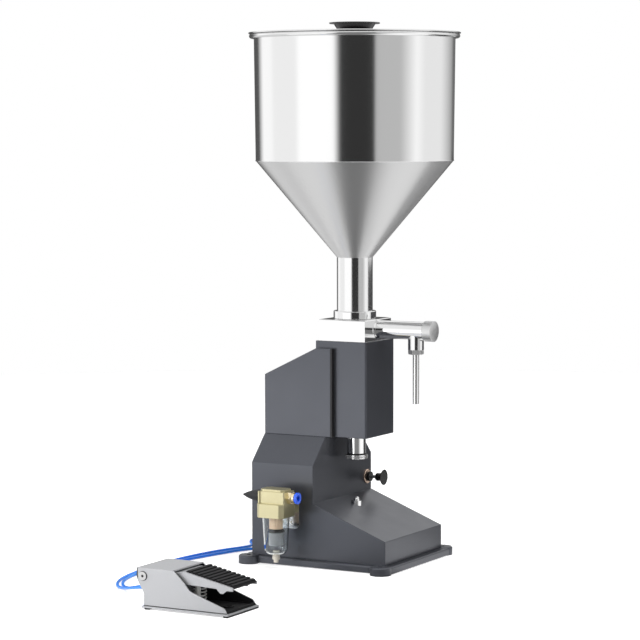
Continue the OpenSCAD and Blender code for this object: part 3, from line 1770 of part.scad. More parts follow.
// Tube swept along a path, with square ends
function tangent(p, i) = i == 0 ? unit(p[1] - p[0])
  : i == len(p) - 1 ? unit(p[i] - p[i - 1]) : unit(p[i + 1] - p[i - 1]);
function unit(v) = v / norm(v);
function side(t) = unit(cross(t, [0, 0, 1]));
module sweep(p, r, sides) {
  n = len(p);
  points = [for (i = [0:n - 1]) let(t = tangent(p, i), s = side(t), u = cross(s, t))
    for (k = [0:sides - 1]) let(a = (k + 0.5) * 360 / sides)
      p[i] + r * cos(a) * s + r * sin(a) * u];
  walls = [for (i = [0:n - 2]) for (k = [0:sides - 1]) let(m = (k + 1) % sides, b = i * sides)
    each [[b + k, b + m, b + sides + m], [b + k, b + sides + m, b + sides + k]]];
  last = (n - 1) * sides;
  ends = [for (k = [1:sides - 2]) each [[0, k + 1, k], [last, last + k, last + k + 1]]];
  polyhedron(points, concat(walls, ends), convexity = 10);
}

// Helical spring along +Z
module spring(r, wire, low, high, turns) {
  n = turns * spring_steps;
  p = [for (k = [0:n]) let(a = k * 360 / spring_steps)
    [r * cos(a), r * sin(a), low + (high - low) * k / n]];
  sweep(p, wire, 6);
}

module hose_a() {
  color(hose_blue) {
    sweep(smooth(lead_a, 1), hose_r, 8);
    sweep(smooth(run_a, 1), hose_r, 8);
  }
}

module hose_b() {
  color(hose_blue) {
    sweep(smooth(lead_b, 1), hose_r, 8);
    sweep(smooth(run_b, 1), hose_r, 8);
  }
}

module hose_a_coil() {
  color(hose_blue)
    sweep(path_a, hose_r, 6);
}

module hose_b_coil() {
  color(hose_blue)
    sweep(path_b, hose_r, 6);
}

tie_t = 0.8;
tie_w = 5;
tie_gap = 0.35;
tie_angles = [40, 140];

// A strap round the cross-section of each coil
module coil_ties() {
  mid = coil_in_r + coil_pitch * turns_out_a / 2;
  in_w = coil_pitch * turns_out_a + 2 * hose_r + 2 * tie_gap;
  in_h = layer_step + 2 * hose_r + 2 * tie_gap;
  color(black)
    for (k = [0, 1])
      translate(k == 0 ? coil_a : coil_b)
        rotate([0, 0, tie_angles[k]])
          translate([mid, tie_w / 2, (layer_low + layer_high) / 2])
            rotate([90, 0, 0])
              linear_extrude(tie_w)
                difference() {
                  round_rect(in_w + 2 * tie_t, in_h + 2 * tie_t, tie_t);
                  square([in_w, in_h], center = true);
                }
}

// Length of a path, and the least distance between its turns
function length_of(p, i = 0) = i >= len(p) - 1 ? 0 : norm(p[i + 1] - p[i]) + length_of(p, i + 1);
function least_gap(p) = min([for (i = [0:len(p) - 1]) for (j = [i + coil_steps / 2:1:len(p) - 1])
  norm(p[i] - p[j])]) - 2 * hose_r;

echo(hose_a_length = length_of(lead_a) + length_of(path_a) + length_of(run_a));
echo(hose_b_length = length_of(lead_b) + length_of(path_b) + length_of(run_b));
echo(coil_a_gap = least_gap(path_a), coil_b_gap = least_gap(path_b));

base_plate();
lower_housing();
cylinder_box();
rear_cover();
cover_trim();
valve_block();
hopper();
hopper_cone();
hopper_neck();
hopper_gasket();
collar_nut();
hopper_lid();
lid_knob();
outlet_tube();
outlet_cap();
outlet_poppet();
outlet_spring();
nozzle_nut();
nozzle_tube();
inlet_poppet();
dosing_cylinder();
dosing_piston();
piston_seals();
piston_rod();
air_barrel();
air_piston();
barrel_heads();
neck_sleeve();
adjusting_ring();
screws();
stop_bolt();
filter_bracket();
filter_head();
filter_element();
element_baffle();
filter_cup();
filter_bowl();
drain_valve();
inlet_cap();
outlet_fitting();
release_ring();
hand_valve();
valve_ring_nut();
pull_knob();
pedal_housing();
pedal_base();
pedal_mat();
pedal_feet();
treadle();
treadle_pad();
pedal_pivot();
return_spring();
foot_valve();
valve_plunger();
hose_fittings();
hose_a();
hose_b();
hose_a_coil();
hose_b_coil();
coil_ties();
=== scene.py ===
import json
import math
from collections import namedtuple

import bmesh
import bpy
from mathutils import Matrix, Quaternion, Vector


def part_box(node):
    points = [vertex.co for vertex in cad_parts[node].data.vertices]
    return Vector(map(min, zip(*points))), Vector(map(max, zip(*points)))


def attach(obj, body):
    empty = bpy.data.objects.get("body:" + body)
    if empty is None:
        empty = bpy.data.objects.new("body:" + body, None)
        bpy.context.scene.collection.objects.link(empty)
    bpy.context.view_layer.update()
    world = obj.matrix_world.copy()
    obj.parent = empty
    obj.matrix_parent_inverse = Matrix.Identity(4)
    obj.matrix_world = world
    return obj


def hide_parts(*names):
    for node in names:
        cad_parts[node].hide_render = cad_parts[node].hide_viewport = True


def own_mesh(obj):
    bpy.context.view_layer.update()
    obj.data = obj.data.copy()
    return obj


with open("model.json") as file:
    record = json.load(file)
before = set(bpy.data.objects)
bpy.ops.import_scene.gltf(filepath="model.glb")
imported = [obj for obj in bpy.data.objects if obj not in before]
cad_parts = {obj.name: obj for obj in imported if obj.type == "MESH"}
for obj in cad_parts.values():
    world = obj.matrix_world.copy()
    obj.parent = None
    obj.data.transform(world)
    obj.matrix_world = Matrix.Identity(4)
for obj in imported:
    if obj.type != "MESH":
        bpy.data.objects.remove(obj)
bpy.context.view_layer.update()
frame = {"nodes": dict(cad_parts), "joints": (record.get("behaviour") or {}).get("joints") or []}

MM = 0.001
nodes = frame["nodes"]
joints = {joint["name"]: joint for joint in frame["joints"]}
collection = bpy.context.scene.collection


def add_object(name, data):
    made = bpy.data.objects.new(name, data)
    collection.objects.link(made)
    return made


def corners(name):
    """Lowest and highest corner of a CAD node at rest, in millimetres."""
    return [[v / MM for v in corner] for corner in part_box(name)]


# Camera: where the photograph was taken from, looking along a compass yaw from +Y toward +X
CAMERA_PLACE = (-2.9794, -1.6018, 0.5895)
CAMERA_YAW = 61.14
CAMERA_DOWN = 4.51
CAMERA_ROLL = -0.11
CAMERA_LENS = 142.43
CAMERA_NEAR = 0.1
CAMERA_FAR = 50
SENSOR = 36.0


def make_camera():
    data = bpy.data.cameras.new("camera")
    data.lens = CAMERA_LENS
    data.sensor_width = SENSOR
    data.clip_start = CAMERA_NEAR
    data.clip_end = CAMERA_FAR
    camera = add_object("camera", data)
    yaw = math.radians(CAMERA_YAW)
    down = math.radians(CAMERA_DOWN)
    look = Vector((math.sin(yaw) * math.cos(down), math.cos(yaw) * math.cos(down),
                   -math.sin(down)))
    camera.location = CAMERA_PLACE
    camera.rotation_mode = "QUATERNION"
    camera.rotation_quaternion = look.to_track_quat("-Z", "Y") \
        @ Quaternion((0, 0, 1), math.radians(CAMERA_ROLL))
    bpy.context.scene.camera = camera


make_camera()


# Node helpers. A Mix node for colours has its two colours and its result at these sockets
MIX_A = 6
MIX_B = 7
MIX_RESULT = 2

# Most values of a noise lie between these
NOISE_LOW = 0.3
NOISE_HIGH = 0.7


class Nodes:
    """Short ways to add and join nodes, in the tree of a material or a world."""

    def __init__(self, owner, empty=False):
        owner.use_nodes = True
        self.tree = owner.node_tree
        if empty:
            self.tree.nodes.clear()

    def node(self, kind, **props):
        made = self.tree.nodes.new(kind)
        for key, value in props.items():
            setattr(made, key, value)
        return made

    def link(self, a, b):
        self.tree.links.new(a, b)

    def remap(self, value, low, high, to_low=0.0, to_high=1.0):
        made = self.node("ShaderNodeMapRange")
        for socket, number in (("From Min", low), ("From Max", high), ("To Min", to_low),
                               ("To Max", to_high)):
            made.inputs[socket].default_value = number
        self.link(value, made.inputs["Value"])
        return made.outputs["Result"]

    def ramp(self, value, stops):
        made = self.node("ShaderNodeValToRGB")
        elements = made.color_ramp.elements
        while len(elements) < len(stops):
            elements.new(0.5)
        for element, (place, color) in zip(elements, stops):
            element.position = place
            element.color = (*color, 1.0)
        self.link(value, made.inputs["Fac"])
        return made.outputs["Color"]

    def mix(self, fac, a, b):
        """A blend of two colours, each of them a tuple or a socket."""
        made = self.node("ShaderNodeMix", data_type="RGBA")
        self.link(fac, made.inputs["Factor"])
        for index, value in ((MIX_A, a), (MIX_B, b)):
            if isinstance(value, tuple):
                made.inputs[index].default_value = (*value, 1.0)
            else:
                self.link(value, made.inputs[index])
        return made.outputs[MIX_RESULT]

    def mix_shaders(self, fac, a, b):
        made = self.node("ShaderNodeMixShader")
        for index, value in enumerate((fac, a, b)):
            self.link(value, made.inputs[index])
        return made.outputs[0]

    def shine(self, kind, strength, color=None):
        """A shader that gives light, white or of a linked colour."""
        made = self.node(kind)
        made.inputs["Strength"].default_value = strength
        if color is None:
            made.inputs["Color"].default_value = (1, 1, 1, 1)
        else:
            self.link(color, made.inputs["Color"])
        return made.outputs[0]

    def highest(self, values):
        most = values[0]
        for value in values[1:]:
            larger = self.node("ShaderNodeMath", operation="MAXIMUM")
            self.link(most, larger.inputs[0])
            self.link(value, larger.inputs[1])
            most = larger.outputs[0]
        return most

    def rays(self, *kinds):
        """1 for rays of these kinds, and 0 for the rest."""
        path = self.node("ShaderNodeLightPath")
        return self.highest([path.outputs[kind] for kind in kinds])


class Shader(Nodes):
    """A node material around one Principled shader. Small lengths are in millimetres."""

    def __init__(self, name, color, rough, metal=0.0, **sockets):
        self.material = bpy.data.materials.new(name)
        super().__init__(self.material)
        self.main = self.tree.nodes["Principled BSDF"]
        self.normal = None
        self.set("Base Color", (*color, 1.0))
        self.set("Roughness", rough)
        self.set("Metallic", metal)
        for key, value in sockets.items():
            self.set(key.replace("_", " "), value)

    def set(self, socket, value):
        self.main.inputs[socket].default_value = value

    def drive(self, socket, value):
        self.link(value, self.main.inputs[socket])

    def noise(self, scale, detail=2.0, stretch=(1, 1, 1)):
        coordinate = self.node("ShaderNodeTexCoord")
        mapping = self.node("ShaderNodeMapping")
        mapping.inputs["Scale"].default_value = stretch
        texture = self.node("ShaderNodeTexNoise")
        texture.inputs["Scale"].default_value = scale
        texture.inputs["Detail"].default_value = detail
        self.link(coordinate.outputs["Object"], mapping.inputs["Vector"])
        self.link(mapping.outputs["Vector"], texture.inputs["Vector"])
        return texture.outputs["Fac"]

    def mottled(self, scale, detail, dark, light):
        """Colour that a noise varies between two."""
        self.drive("Base Color", self.ramp(self.noise(scale, detail),
                                           [(NOISE_LOW, dark), (NOISE_HIGH, light)]))

    def uneven(self, scale, low, high, detail=3.0, stretch=(1, 1, 1)):
        """Roughness that a noise varies between two values."""
        self.drive("Roughness", self.remap(self.noise(scale, detail, stretch),
                                           NOISE_LOW, NOISE_HIGH, low, high))

    def soft_edges(self, radius, samples=4):
        """Edges that are rounded in the shading."""
        made = self.node("ShaderNodeBevel", samples=samples)
        made.inputs["Radius"].default_value = radius * MM
        self.add_normal(made)

    def grain(self, scale, depth, strength):
        """A fine bump of this depth."""
        made = self.node("ShaderNodeBump")
        made.inputs["Distance"].default_value = depth * MM
        made.inputs["Strength"].default_value = strength
        self.link(self.noise(scale), made.inputs["Height"])
        self.add_normal(made)

    def add_normal(self, made):
        """Works a node in after what already shapes the normal."""
        if self.normal is not None:
            self.link(self.normal, made.inputs["Normal"])
        self.normal = made.outputs["Normal"]
        self.drive("Normal", self.normal)

    def vector_math(self, operation, value, other=None):
        made = self.node("ShaderNodeVectorMath", operation=operation)
        self.link(value, made.inputs[0])
        if other is not None:
            made.inputs[1].default_value = other
        return made.outputs[0]

    def inside(self, low, high):
        """1 inside a box of object coordinates, and 0 outside."""
        centre = [(a + b) / 2 * MM for a, b in zip(low, high)]
        half = [(b - a) / 2 * MM for a, b in zip(low, high)]
        coordinate = self.node("ShaderNodeTexCoord")
        offset = self.vector_math("SUBTRACT", coordinate.outputs["Object"], centre)
        share = self.vector_math("DIVIDE", offset, half)
        split = self.node("ShaderNodeSeparateXYZ")
        self.link(self.vector_math("ABSOLUTE", share), split.inputs[0])
        within = self.node("ShaderNodeMath", operation="LESS_THAN")
        within.inputs[1].default_value = 1.0
        self.link(self.highest([split.outputs[axis] for axis in "XYZ"]), within.inputs[0])
        return within.outputs[0]


def dress(shader, *names):
    """Gives CAD nodes this material."""
    for name in names:
        data = nodes[name].data
        data.materials.clear()
        data.materials.append(shader.material)


# Hoses: tube and coils in metres, and the same points as the CAD route in millimetres
HOSE_R = 2 * MM
HOSE_SIDES = 4
ROUTE_STEPS = 4
COIL_PITCH = 5 * MM
COIL_IN_R = 17 * MM
COIL_STEPS = 48
LAYER_LOW = 3.3 * MM
LAYER_STEP = 5.2 * MM
TURNS_IN = 2
CLIMB = 0.5
COIL_A = (60, 150)
COIL_B = (121, 150)
LEAD_A = [
    (33, 111, 28), (33, 114.5, 28), (33, 119, 26.6), (33, 124.5, 22), (33, 130, 16),
    (33, 135, 11), (33, 139, 8.9), (33, 142.5, 8.5), (33, 146, 8.5)]
LEAD_B = [
    (66, 111, 28), (66, 114, 28), (67, 117.5, 27.3), (70.5, 121.5, 25.2), (77, 125, 21.5),
    (86, 126.3, 17), (96, 125.4, 12.8), (105, 123.8, 9.8), (112, 123, 8.5),
    (117, 123, 8.5)]
RUN_A = [
    (56, 121.75, 3.3), (51, 121.75, 3.3), (42, 122, 2.9), (28, 123.8, 2.4),
    (14, 129.5, 2.1), (2, 139.5, 2.1), (-11, 148.5, 2.1), (-30, 156.5, 2.1),
    (-53, 163, 2.1), (-81, 170, 2.1), (-112, 177, 2.1), (-145, 182.5, 2.1),
    (-180, 184, 2.1), (-215, 182.5, 2.1), (-245, 179, 2.1), (-270, 174, 2.1),
    (-292, 166.5, 2.1), (-311, 156, 2.1), (-328, 143, 2.6), (-344, 128, 5),
    (-360, 111, 9), (-375, 93, 14), (-386, 76, 18.4), (-391.2, 65.5, 19.8),
    (-392, 59.5, 20), (-392, 56, 20)]
RUN_B = [
    (117, 177, 3.3), (112, 177, 3.3), (103, 177.2, 2.9), (90, 178.8, 2.4),
    (74, 181.4, 2.1), (56, 181.2, 2.1), (40, 173.2, 2.1), (28, 163.5, 2.1),
    (14, 159, 2.1), (-4, 162.5, 2.1), (-34, 174, 2.1), (-64, 181.4, 2.1), (-96, 187, 2.1),
    (-130, 190.5, 2.1), (-166, 191, 2.1), (-202, 189.5, 2.1), (-236, 186, 2.1),
    (-266, 181, 2.1), (-291, 173.5, 2.1), (-312, 163.5, 2.1), (-331, 150, 2.6),
    (-349, 133, 5), (-367, 113, 9.5), (-384, 92, 14.5), (-397, 74, 18.8),
    (-403, 64, 19.9), (-404, 59.5, 20), (-404, 56, 20)]


def smooth(route):
    """A Catmull-Rom curve in metres through listed points in millimetres."""
    points = [Vector(p) * MM for p in route]
    out = []
    for i in range(len(points) - 1):
        a, b = points[max(i - 1, 0)], points[i]
        c, d = points[i + 1], points[min(i + 2, len(points) - 1)]
        for k in range(ROUTE_STEPS):
            t = k / ROUTE_STEPS
            out.append(0.5 * (2 * b + (c - a) * t + (2 * a - 5 * b + 4 * c - d) * t * t
                              + (3 * b - a - 3 * c + d) * t ** 3))
    return out + [points[-1]]


def coil(centre, start, spin, turns_out):
    """In along the upper layer, down in half a turn, out along the lower layer."""
    total = TURNS_IN + CLIMB + turns_out
    count = math.ceil(total * COIL_STEPS)
    points = []
    for k in range(count + 1):
        turn = total * k / count
        down = turn - TURNS_IN
        r = COIL_IN_R + COIL_PITCH * max(-down, down - CLIMB, 0)
        ease = max(0.0, min(1.0, down / CLIMB))
        angle = math.radians(start + spin * turn * 360)
        points.append(Vector((centre[0] * MM + r * math.cos(angle),
                              centre[1] * MM + r * math.sin(angle),
                              LAYER_LOW + LAYER_STEP * (1 - ease))))
    return points


def hose(name, lead, turns, run):
    """A tube from the machine along its lead, through its coil and along its run to the pedal."""
    path = smooth(lead) + turns + smooth(run)
    data = bpy.data.curves.new(name, "CURVE")
    data.dimensions = "3D"
    spline = data.splines.new("POLY")
    spline.points.add(len(path) - 1)
    for point, place in zip(spline.points, path):
        point.co = (*place, 1.0)
    data.bevel_depth = HOSE_R
    data.bevel_resolution = HOSE_SIDES
    data.use_fill_caps = True
    data.materials.append(hose_blue.material)
    made = add_object(name, data)
    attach(made, "frame")
    return made, path


hose_blue = Shader("hose_blue", (0.0, 0.2, 0.85), 0.25, IOR=1.5, Coat_Weight=0.3,
                   Coat_Roughness=0.1)
hose_blue.mottled(9.0, 1.0, (0.0, 0.12, 0.66), (0.0, 0.24, 0.86))

hose_a, path_a = hose("air_hose_a", LEAD_A, coil(COIL_A, start=180, spin=-1, turns_out=2.25),
                      RUN_A)
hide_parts("hose_a", "hose_a_coil")
hose_b, path_b = hose("air_hose_b", LEAD_B, coil(COIL_B, start=270, spin=1, turns_out=2),
                      RUN_B)
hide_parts("hose_b", "hose_b_coil")

# Finishes of the machine
paint = Shader("housing_paint", (0.076, 0.080, 0.092), 0.30, 0.6)
paint.mottled(4.0, 3.0, (0.072, 0.076, 0.089), (0.081, 0.085, 0.098))
paint.uneven(30.0, 0.28, 0.33)
paint.soft_edges(1.3, samples=6)
paint.grain(1800.0, 0.03, 0.25)
dress(paint, "base_plate", "lower_housing", "cylinder_box", "rear_cover")

# Black rubber for the feet, seals and cap. The same black is painted shade on the cover's trim,
# round the pivot head and at the sleeve's groove
rubber_and_shade = Shader("black_rubber_and_shade", (0.012, 0.012, 0.013), 0.55)
rubber_and_shade.uneven(400.0, 0.48, 0.62)
rubber_and_shade.soft_edges(0.3)
rubber_and_shade.grain(2500.0, 0.03, 0.3)
# The cover's trim is black as painted shade of the gap between the cover and the box
dress(rubber_and_shade, "cover_trim", "pedal_feet", "piston_seals", "inlet_cap")

polished = Shader("polished_steel", (0.80, 0.80, 0.80), 0.07, 1.0)
polished.uneven(60.0, 0.05, 0.11, detail=4.0)
polished.soft_edges(0.5)
polished.grain(700.0, 0.008, 0.4)
dress(polished, "valve_block", "collar_nut", "outlet_tube", "neck_sleeve",
      "adjusting_ring", "stop_bolt", "piston_rod", "pedal_pivot", "screws")

turned = Shader("turned_steel", (0.74, 0.74, 0.74), 0.18, 1.0)
turned.uneven(120.0, 0.14, 0.24, stretch=(1, 1, 8))
turned.soft_edges(0.3)
dress(turned, "nozzle_tube", "dosing_cylinder", "filter_bracket")

satin = Shader("satin_steel", (0.70, 0.70, 0.70), 0.38, 1.0)
satin.uneven(200.0, 0.38, 0.48)
satin.soft_edges(0.8)
dress(satin, "outlet_cap", "nozzle_nut")

zinc = Shader("spring_zinc", (0.80, 0.80, 0.78), 0.3, 0.4)

hopper_steel = Shader("hopper_steel", (0.78, 0.78, 0.78), 0.13, 1.0)
dress(hopper_steel, "hopper", "hopper_neck", "hopper_lid")

# The cone is brushed round its axis, which draws the reflections out down its sides
cone_steel = Shader("cone_steel", (0.78, 0.78, 0.78), 0.45, 1.0, Anisotropic=1.0,
                    Anisotropic_Rotation=0.25)
around = cone_steel.node("ShaderNodeTangent", direction_type="RADIAL", axis="Z")
cone_steel.drive("Tangent", around.outputs[0])
dress(cone_steel, "hopper_cone")

# Where a piece has two finishes, boxes part them and reach past the piece by this margin
MARGIN = 1

GLOSS_BLACK = (0.007, 0.007, 0.007)
STEM_STEEL = (0.72, 0.72, 0.72)
STEM_HALF = 3
STEM_FRONT = -8.9


def gloss(name):
    return Shader(name, GLOSS_BLACK, 0.22, Coat_Weight=0.15, Coat_Roughness=0.1)


gloss_black = gloss("gloss_black")
gloss_black.uneven(20.0, 0.2, 0.26, detail=2.0)
gloss_black.soft_edges(0.6)
dress(gloss_black, "lid_knob", "hand_valve", "element_baffle", "coil_ties")


def dress_knob():
    """The knob is black, and the stem behind it is bare steel."""
    low, high = corners("pull_knob")
    x, z = (low[0] + high[0]) / 2, (low[2] + high[2]) / 2
    knob_black = gloss("knob_black")
    stem = knob_black.inside((x - STEM_HALF, STEM_FRONT, z - STEM_HALF),
                             (x + STEM_HALF, high[1] + MARGIN, z + STEM_HALF))
    knob_black.drive("Base Color", knob_black.mix(stem, GLOSS_BLACK, STEM_STEEL))
    knob_black.drive("Metallic", stem)
    knob_black.soft_edges(0.6)
    dress(knob_black, "pull_knob")


dress_knob()

white_plastic = Shader("white_polymer", (0.82, 0.82, 0.79), 0.4)
dress(white_plastic, "outlet_poppet", "inlet_poppet", "dosing_piston", "hopper_gasket")

alloy = Shader("cylinder_alloy", (0.66, 0.67, 0.69), 0.32, 1.0)
alloy.uneven(90.0, 0.28, 0.38)
alloy.soft_edges(0.4)
dress(alloy, "barrel_heads", "air_barrel", "air_piston", "foot_valve", "valve_plunger")

# Finishes of the air filter and the fittings
gold = Shader("filter_gold", (0.60, 0.55, 0.34), 0.32, 0.85)
gold.uneven(300.0, 0.3, 0.42)
gold.soft_edges(0.6)
gold.grain(1500.0, 0.04, 0.3)
dress(gold, "filter_head")

sinter = Shader("sintered_tan", (0.98, 0.72, 0.50), 0.7)
sinter.grain(1600.0, 0.1, 0.6)
dress(sinter, "filter_element")

clear = Shader("bowl_clear", (0.93, 0.96, 0.97), 0.02, Transmission_Weight=1.0, IOR=1.45)
dress(clear, "filter_bowl")

frosted = Shader("cup_frosted", (0.86, 0.87, 0.88), 0.3, Transmission_Weight=0.8, IOR=1.3)
dress(frosted, "filter_cup")

drain_plastic = Shader("drain_plastic", (0.62, 0.58, 0.50), 0.35)
drain_plastic.soft_edges(0.3)
dress(drain_plastic, "drain_valve")

brass = Shader("brass", (0.95, 0.82, 0.56), 0.2, 1.0)
brass.uneven(200.0, 0.15, 0.28)
brass.soft_edges(0.4)
dress(brass, "outlet_fitting")

copper = Shader("copper_brass", (0.92, 0.70, 0.56), 0.25, 1.0)
copper.soft_edges(0.4)
dress(copper, "valve_ring_nut")

ring_blue = Shader("ring_blue", (0.01, 0.10, 0.80), 0.25, Coat_Weight=0.5)
ring_blue.soft_edges(0.4)
dress(ring_blue, "release_ring", "hose_fittings")

# Finishes of the pedal
SILVER = (0.42, 0.425, 0.44)
SILVER_METAL = 0.35
# Black for the painted shade on the pedal's housing and for the treadle's lip
SHADE_AND_LIP_BLACK = (0.006, 0.006, 0.007)

tread_rubber = Shader("tread_rubber", (0.005, 0.005, 0.006), 0.6, Specular_IOR_Level=0.3)
tread_rubber.soft_edges(0.4)
dress(tread_rubber, "treadle_pad", "pedal_mat")


def silver(name, **sockets):
    made = Shader(name, SILVER, 0.36, SILVER_METAL, **sockets)
    made.uneven(500.0, 0.32, 0.44)
    made.soft_edges(0.6)
    made.grain(1500.0, 0.04, 0.3)
    return made


def part_black(name, boxes):
    """The silver finish with black where these boxes are, in millimetres."""
    made = silver(name)
    black = made.highest([made.inside(*box) for box in boxes])
    made.drive("Base Color", made.mix(black, SILVER, SHADE_AND_LIP_BLACK))
    made.drive("Metallic", made.remap(black, 0.0, 1.0, SILVER_METAL, 0.0))
    return made


dress(silver("pedal_silver", Coat_Weight=0.2, Coat_Roughness=0.25), "pedal_base")

# Where the pedal is painted black, in millimetres: painted shade inside the housing and along its
# bottom and rear edges, and the treadle's black lip
WALL = 2
SIDE_SHADE_REACH = 0.2
ROOF_SHADE_REACH = 0.3
BASE_SHADE_H = 1
REAR_SHADE_W = 1
REAR_SHADE_LOW = 25
LIP_HALF = 27
LIP_DEPTH = 2.5

pedal_low, pedal_high = corners("pedal_housing")


def dress_pedal():
    """The housing gets black painted shade inside it and along its bottom and rear edges, and the
    treadle has a black lip.
    """
    left, front, floor = pedal_low
    right, heel, top = pedal_high
    rear = heel - WALL / 2
    # Painted shade: black on the inner faces, along the bottom and along the rear edge
    inner_shade = ((left + WALL - SIDE_SHADE_REACH, front - MARGIN, floor - MARGIN),
              (right - WALL + SIDE_SHADE_REACH, rear - WALL + SIDE_SHADE_REACH,
               top - WALL + ROOF_SHADE_REACH))
    base_edge_shade = ((left - MARGIN, front - MARGIN, floor - MARGIN),
                 (right + MARGIN, heel + MARGIN, floor + BASE_SHADE_H))
    rear_edge_shade = ((left - MARGIN, rear - REAR_SHADE_W, REAR_SHADE_LOW),
                 (right + MARGIN, heel + MARGIN, top + MARGIN))
    dress(part_black("silver_painted_shade", [inner_shade, base_edge_shade, rear_edge_shade]), "pedal_housing")

    low, high = corners("treadle")
    middle, tip = (low[0] + high[0]) / 2, low[1]
    lip = ((middle - LIP_HALF, tip - MARGIN, low[2] - MARGIN),
           (middle + LIP_HALF, tip + LIP_DEPTH, high[2] + MARGIN))
    dress(part_black("tipped_silver", [lip]), "treadle")


dress_pedal()

# Small pieces on the pedal: radius, reach out of and into what carries them, and bevel. The ring
# round the pivot's head and the disc in its middle are black painted shade
SHADE_RING_R = 5.9
SHADE_RING_OUT = 0.35
SHADE_RING_IN = 0.1
SHADE_RING_EDGE = 0.1
RECESS_R = 1.7
RECESS_OUT = 0.12
RECESS_IN = 0.3
RECESS_EDGE = 0.05
POST_X = -408
POST_Y = -16
POST_LOW = 3.8
POST_HIGH = 30
POST_R = 3.4
POST_EDGE = 0.6
BAR_SIDES = 48
BEVEL_STEPS = 2


def round_bar(name, shader, start, end, radius, edge):
    """A straight round piece from one point to another, in millimetres."""
    start, end = Vector(start) * MM, Vector(end) * MM
    mesh = bmesh.new()
    bmesh.ops.create_cone(mesh, cap_ends=True, segments=BAR_SIDES, radius1=radius * MM,
                          radius2=radius * MM, depth=(end - start).length)
    data = bpy.data.meshes.new(name)
    mesh.to_mesh(data)
    mesh.free()
    for face in data.polygons:
        face.use_smooth = len(face.vertices) == 4
    data.materials.append(shader.material)
    made = add_object(name, data)
    made.location = (start + end) / 2
    made.rotation_mode = "QUATERNION"
    made.rotation_quaternion = (end - start).to_track_quat("Z", "Y")
    bevel = made.modifiers.new("edge", "BEVEL")
    bevel.width = edge * MM
    bevel.segments = BEVEL_STEPS
    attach(made, "frame")


def pedal_pieces():
    _, y, z = [v / MM for v in joints["treadle_press"]["pos_m"]]
    side = pedal_low[0]
    head = corners("pedal_pivot")[0][0]
    # A black ring of painted shade round the pivot's head, and a black disc of painted shade in
    # its recess
    round_bar("pivot_shade_ring", rubber_and_shade, (side - SHADE_RING_OUT, y, z),
              (side + SHADE_RING_IN, y, z), SHADE_RING_R, SHADE_RING_EDGE)
    round_bar("pivot_recess_shade", rubber_and_shade, (head - RECESS_OUT, y, z),
              (head + RECESS_IN, y, z), RECESS_R, RECESS_EDGE)
    round_bar("treadle_guide", white_plastic, (POST_X, POST_Y, POST_LOW),
              (POST_X, POST_Y, POST_HIGH), POST_R, POST_EDGE)


pedal_pieces()

# Small pieces on the machine: ribs of the ring, a black band of painted shade for the groove
# above it, weld line of the hopper
RIBS = 44
RIB_W = 0.9
RIB_OUT = 0.45
RIB_IN = 0.5
RIB_SHORT = 0.6
GROOVE_LOW = 0.1
GROOVE_HIGH = 2.0
GROOVE_OUT = 0.15
GROOVE_EDGE = 0.1
WELD_R = 0.55
WELD_STEPS = 160
WELD_SIDES = 8
BOX_FACES = ((3, 2, 1, 0), (4, 5, 6, 7), (0, 1, 5, 4), (1, 2, 6, 5), (2, 3, 7, 6),
             (3, 0, 4, 7))

Round = namedtuple("Round", "x y radius bottom top")


def round_node(name):
    """What a round CAD node measures at rest, in millimetres."""
    low, high = corners(name)
    return Round((low[0] + high[0]) / 2, (low[1] + high[1]) / 2, (high[0] - low[0]) / 2,
                 low[2], high[2])


def new_piece(name, points, faces, shader, body, smooth=False):
    """A piece from points in millimetres, which rides on a body."""
    data = bpy.data.meshes.new(name)
    data.from_pydata([Vector(p) * MM for p in points], [], faces)
    data.update()
    for face in data.polygons:
        face.use_smooth = smooth
    data.materials.append(shader.material)
    made = add_object(name, data)
    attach(made, body)
    return made


def ring_ribs():
    ring = round_node("adjusting_ring")
    points, faces = [], []
    for i in range(RIBS):
        angle = 2 * math.pi * i / RIBS
        out = Vector((math.cos(angle), math.sin(angle), 0))
        side = Vector((-math.sin(angle), math.cos(angle), 0)) * RIB_W / 2
        first = len(points)
        for z in (ring.bottom + RIB_SHORT, ring.top - RIB_SHORT):
            for reach, shift in ((-RIB_IN, -1), (RIB_OUT, -1), (RIB_OUT, 1), (-RIB_IN, 1)):
                points.append(Vector((ring.x, ring.y, z)) + out * (ring.radius + reach)
                              + side * shift)
        faces += [tuple(first + k for k in face) for face in BOX_FACES]
    new_piece("ring_ribs", points, faces, turned, "stroke_ring")


def weld_line():
    cone = round_node("hopper_cone")
    points, faces = [], []
    for i in range(WELD_STEPS):
        angle = 2 * math.pi * i / WELD_STEPS
        for k in range(WELD_SIDES):
            turn = 2 * math.pi * k / WELD_SIDES
            reach = cone.radius + WELD_R * math.cos(turn)
            points.append((cone.x + reach * math.cos(angle), cone.y + reach * math.sin(angle),
                           cone.top + WELD_R * math.sin(turn)))
            here, after = i * WELD_SIDES, (i + 1) % WELD_STEPS * WELD_SIDES
            beside = (k + 1) % WELD_SIDES
            faces.append((here + k, after + k, after + beside, here + beside))
    new_piece("hopper_weld", points, faces, polished, "frame", smooth=True)


ring_ribs()
weld_line()

# Springs: the CAD's wire coils, smoother.
SPRING_TURNS = 9
SPRING_STEPS = 28
WIRE_SIDES = 10
RETURN_WIRE_R = 0.9
OUTLET_WIRE_R = 0.6


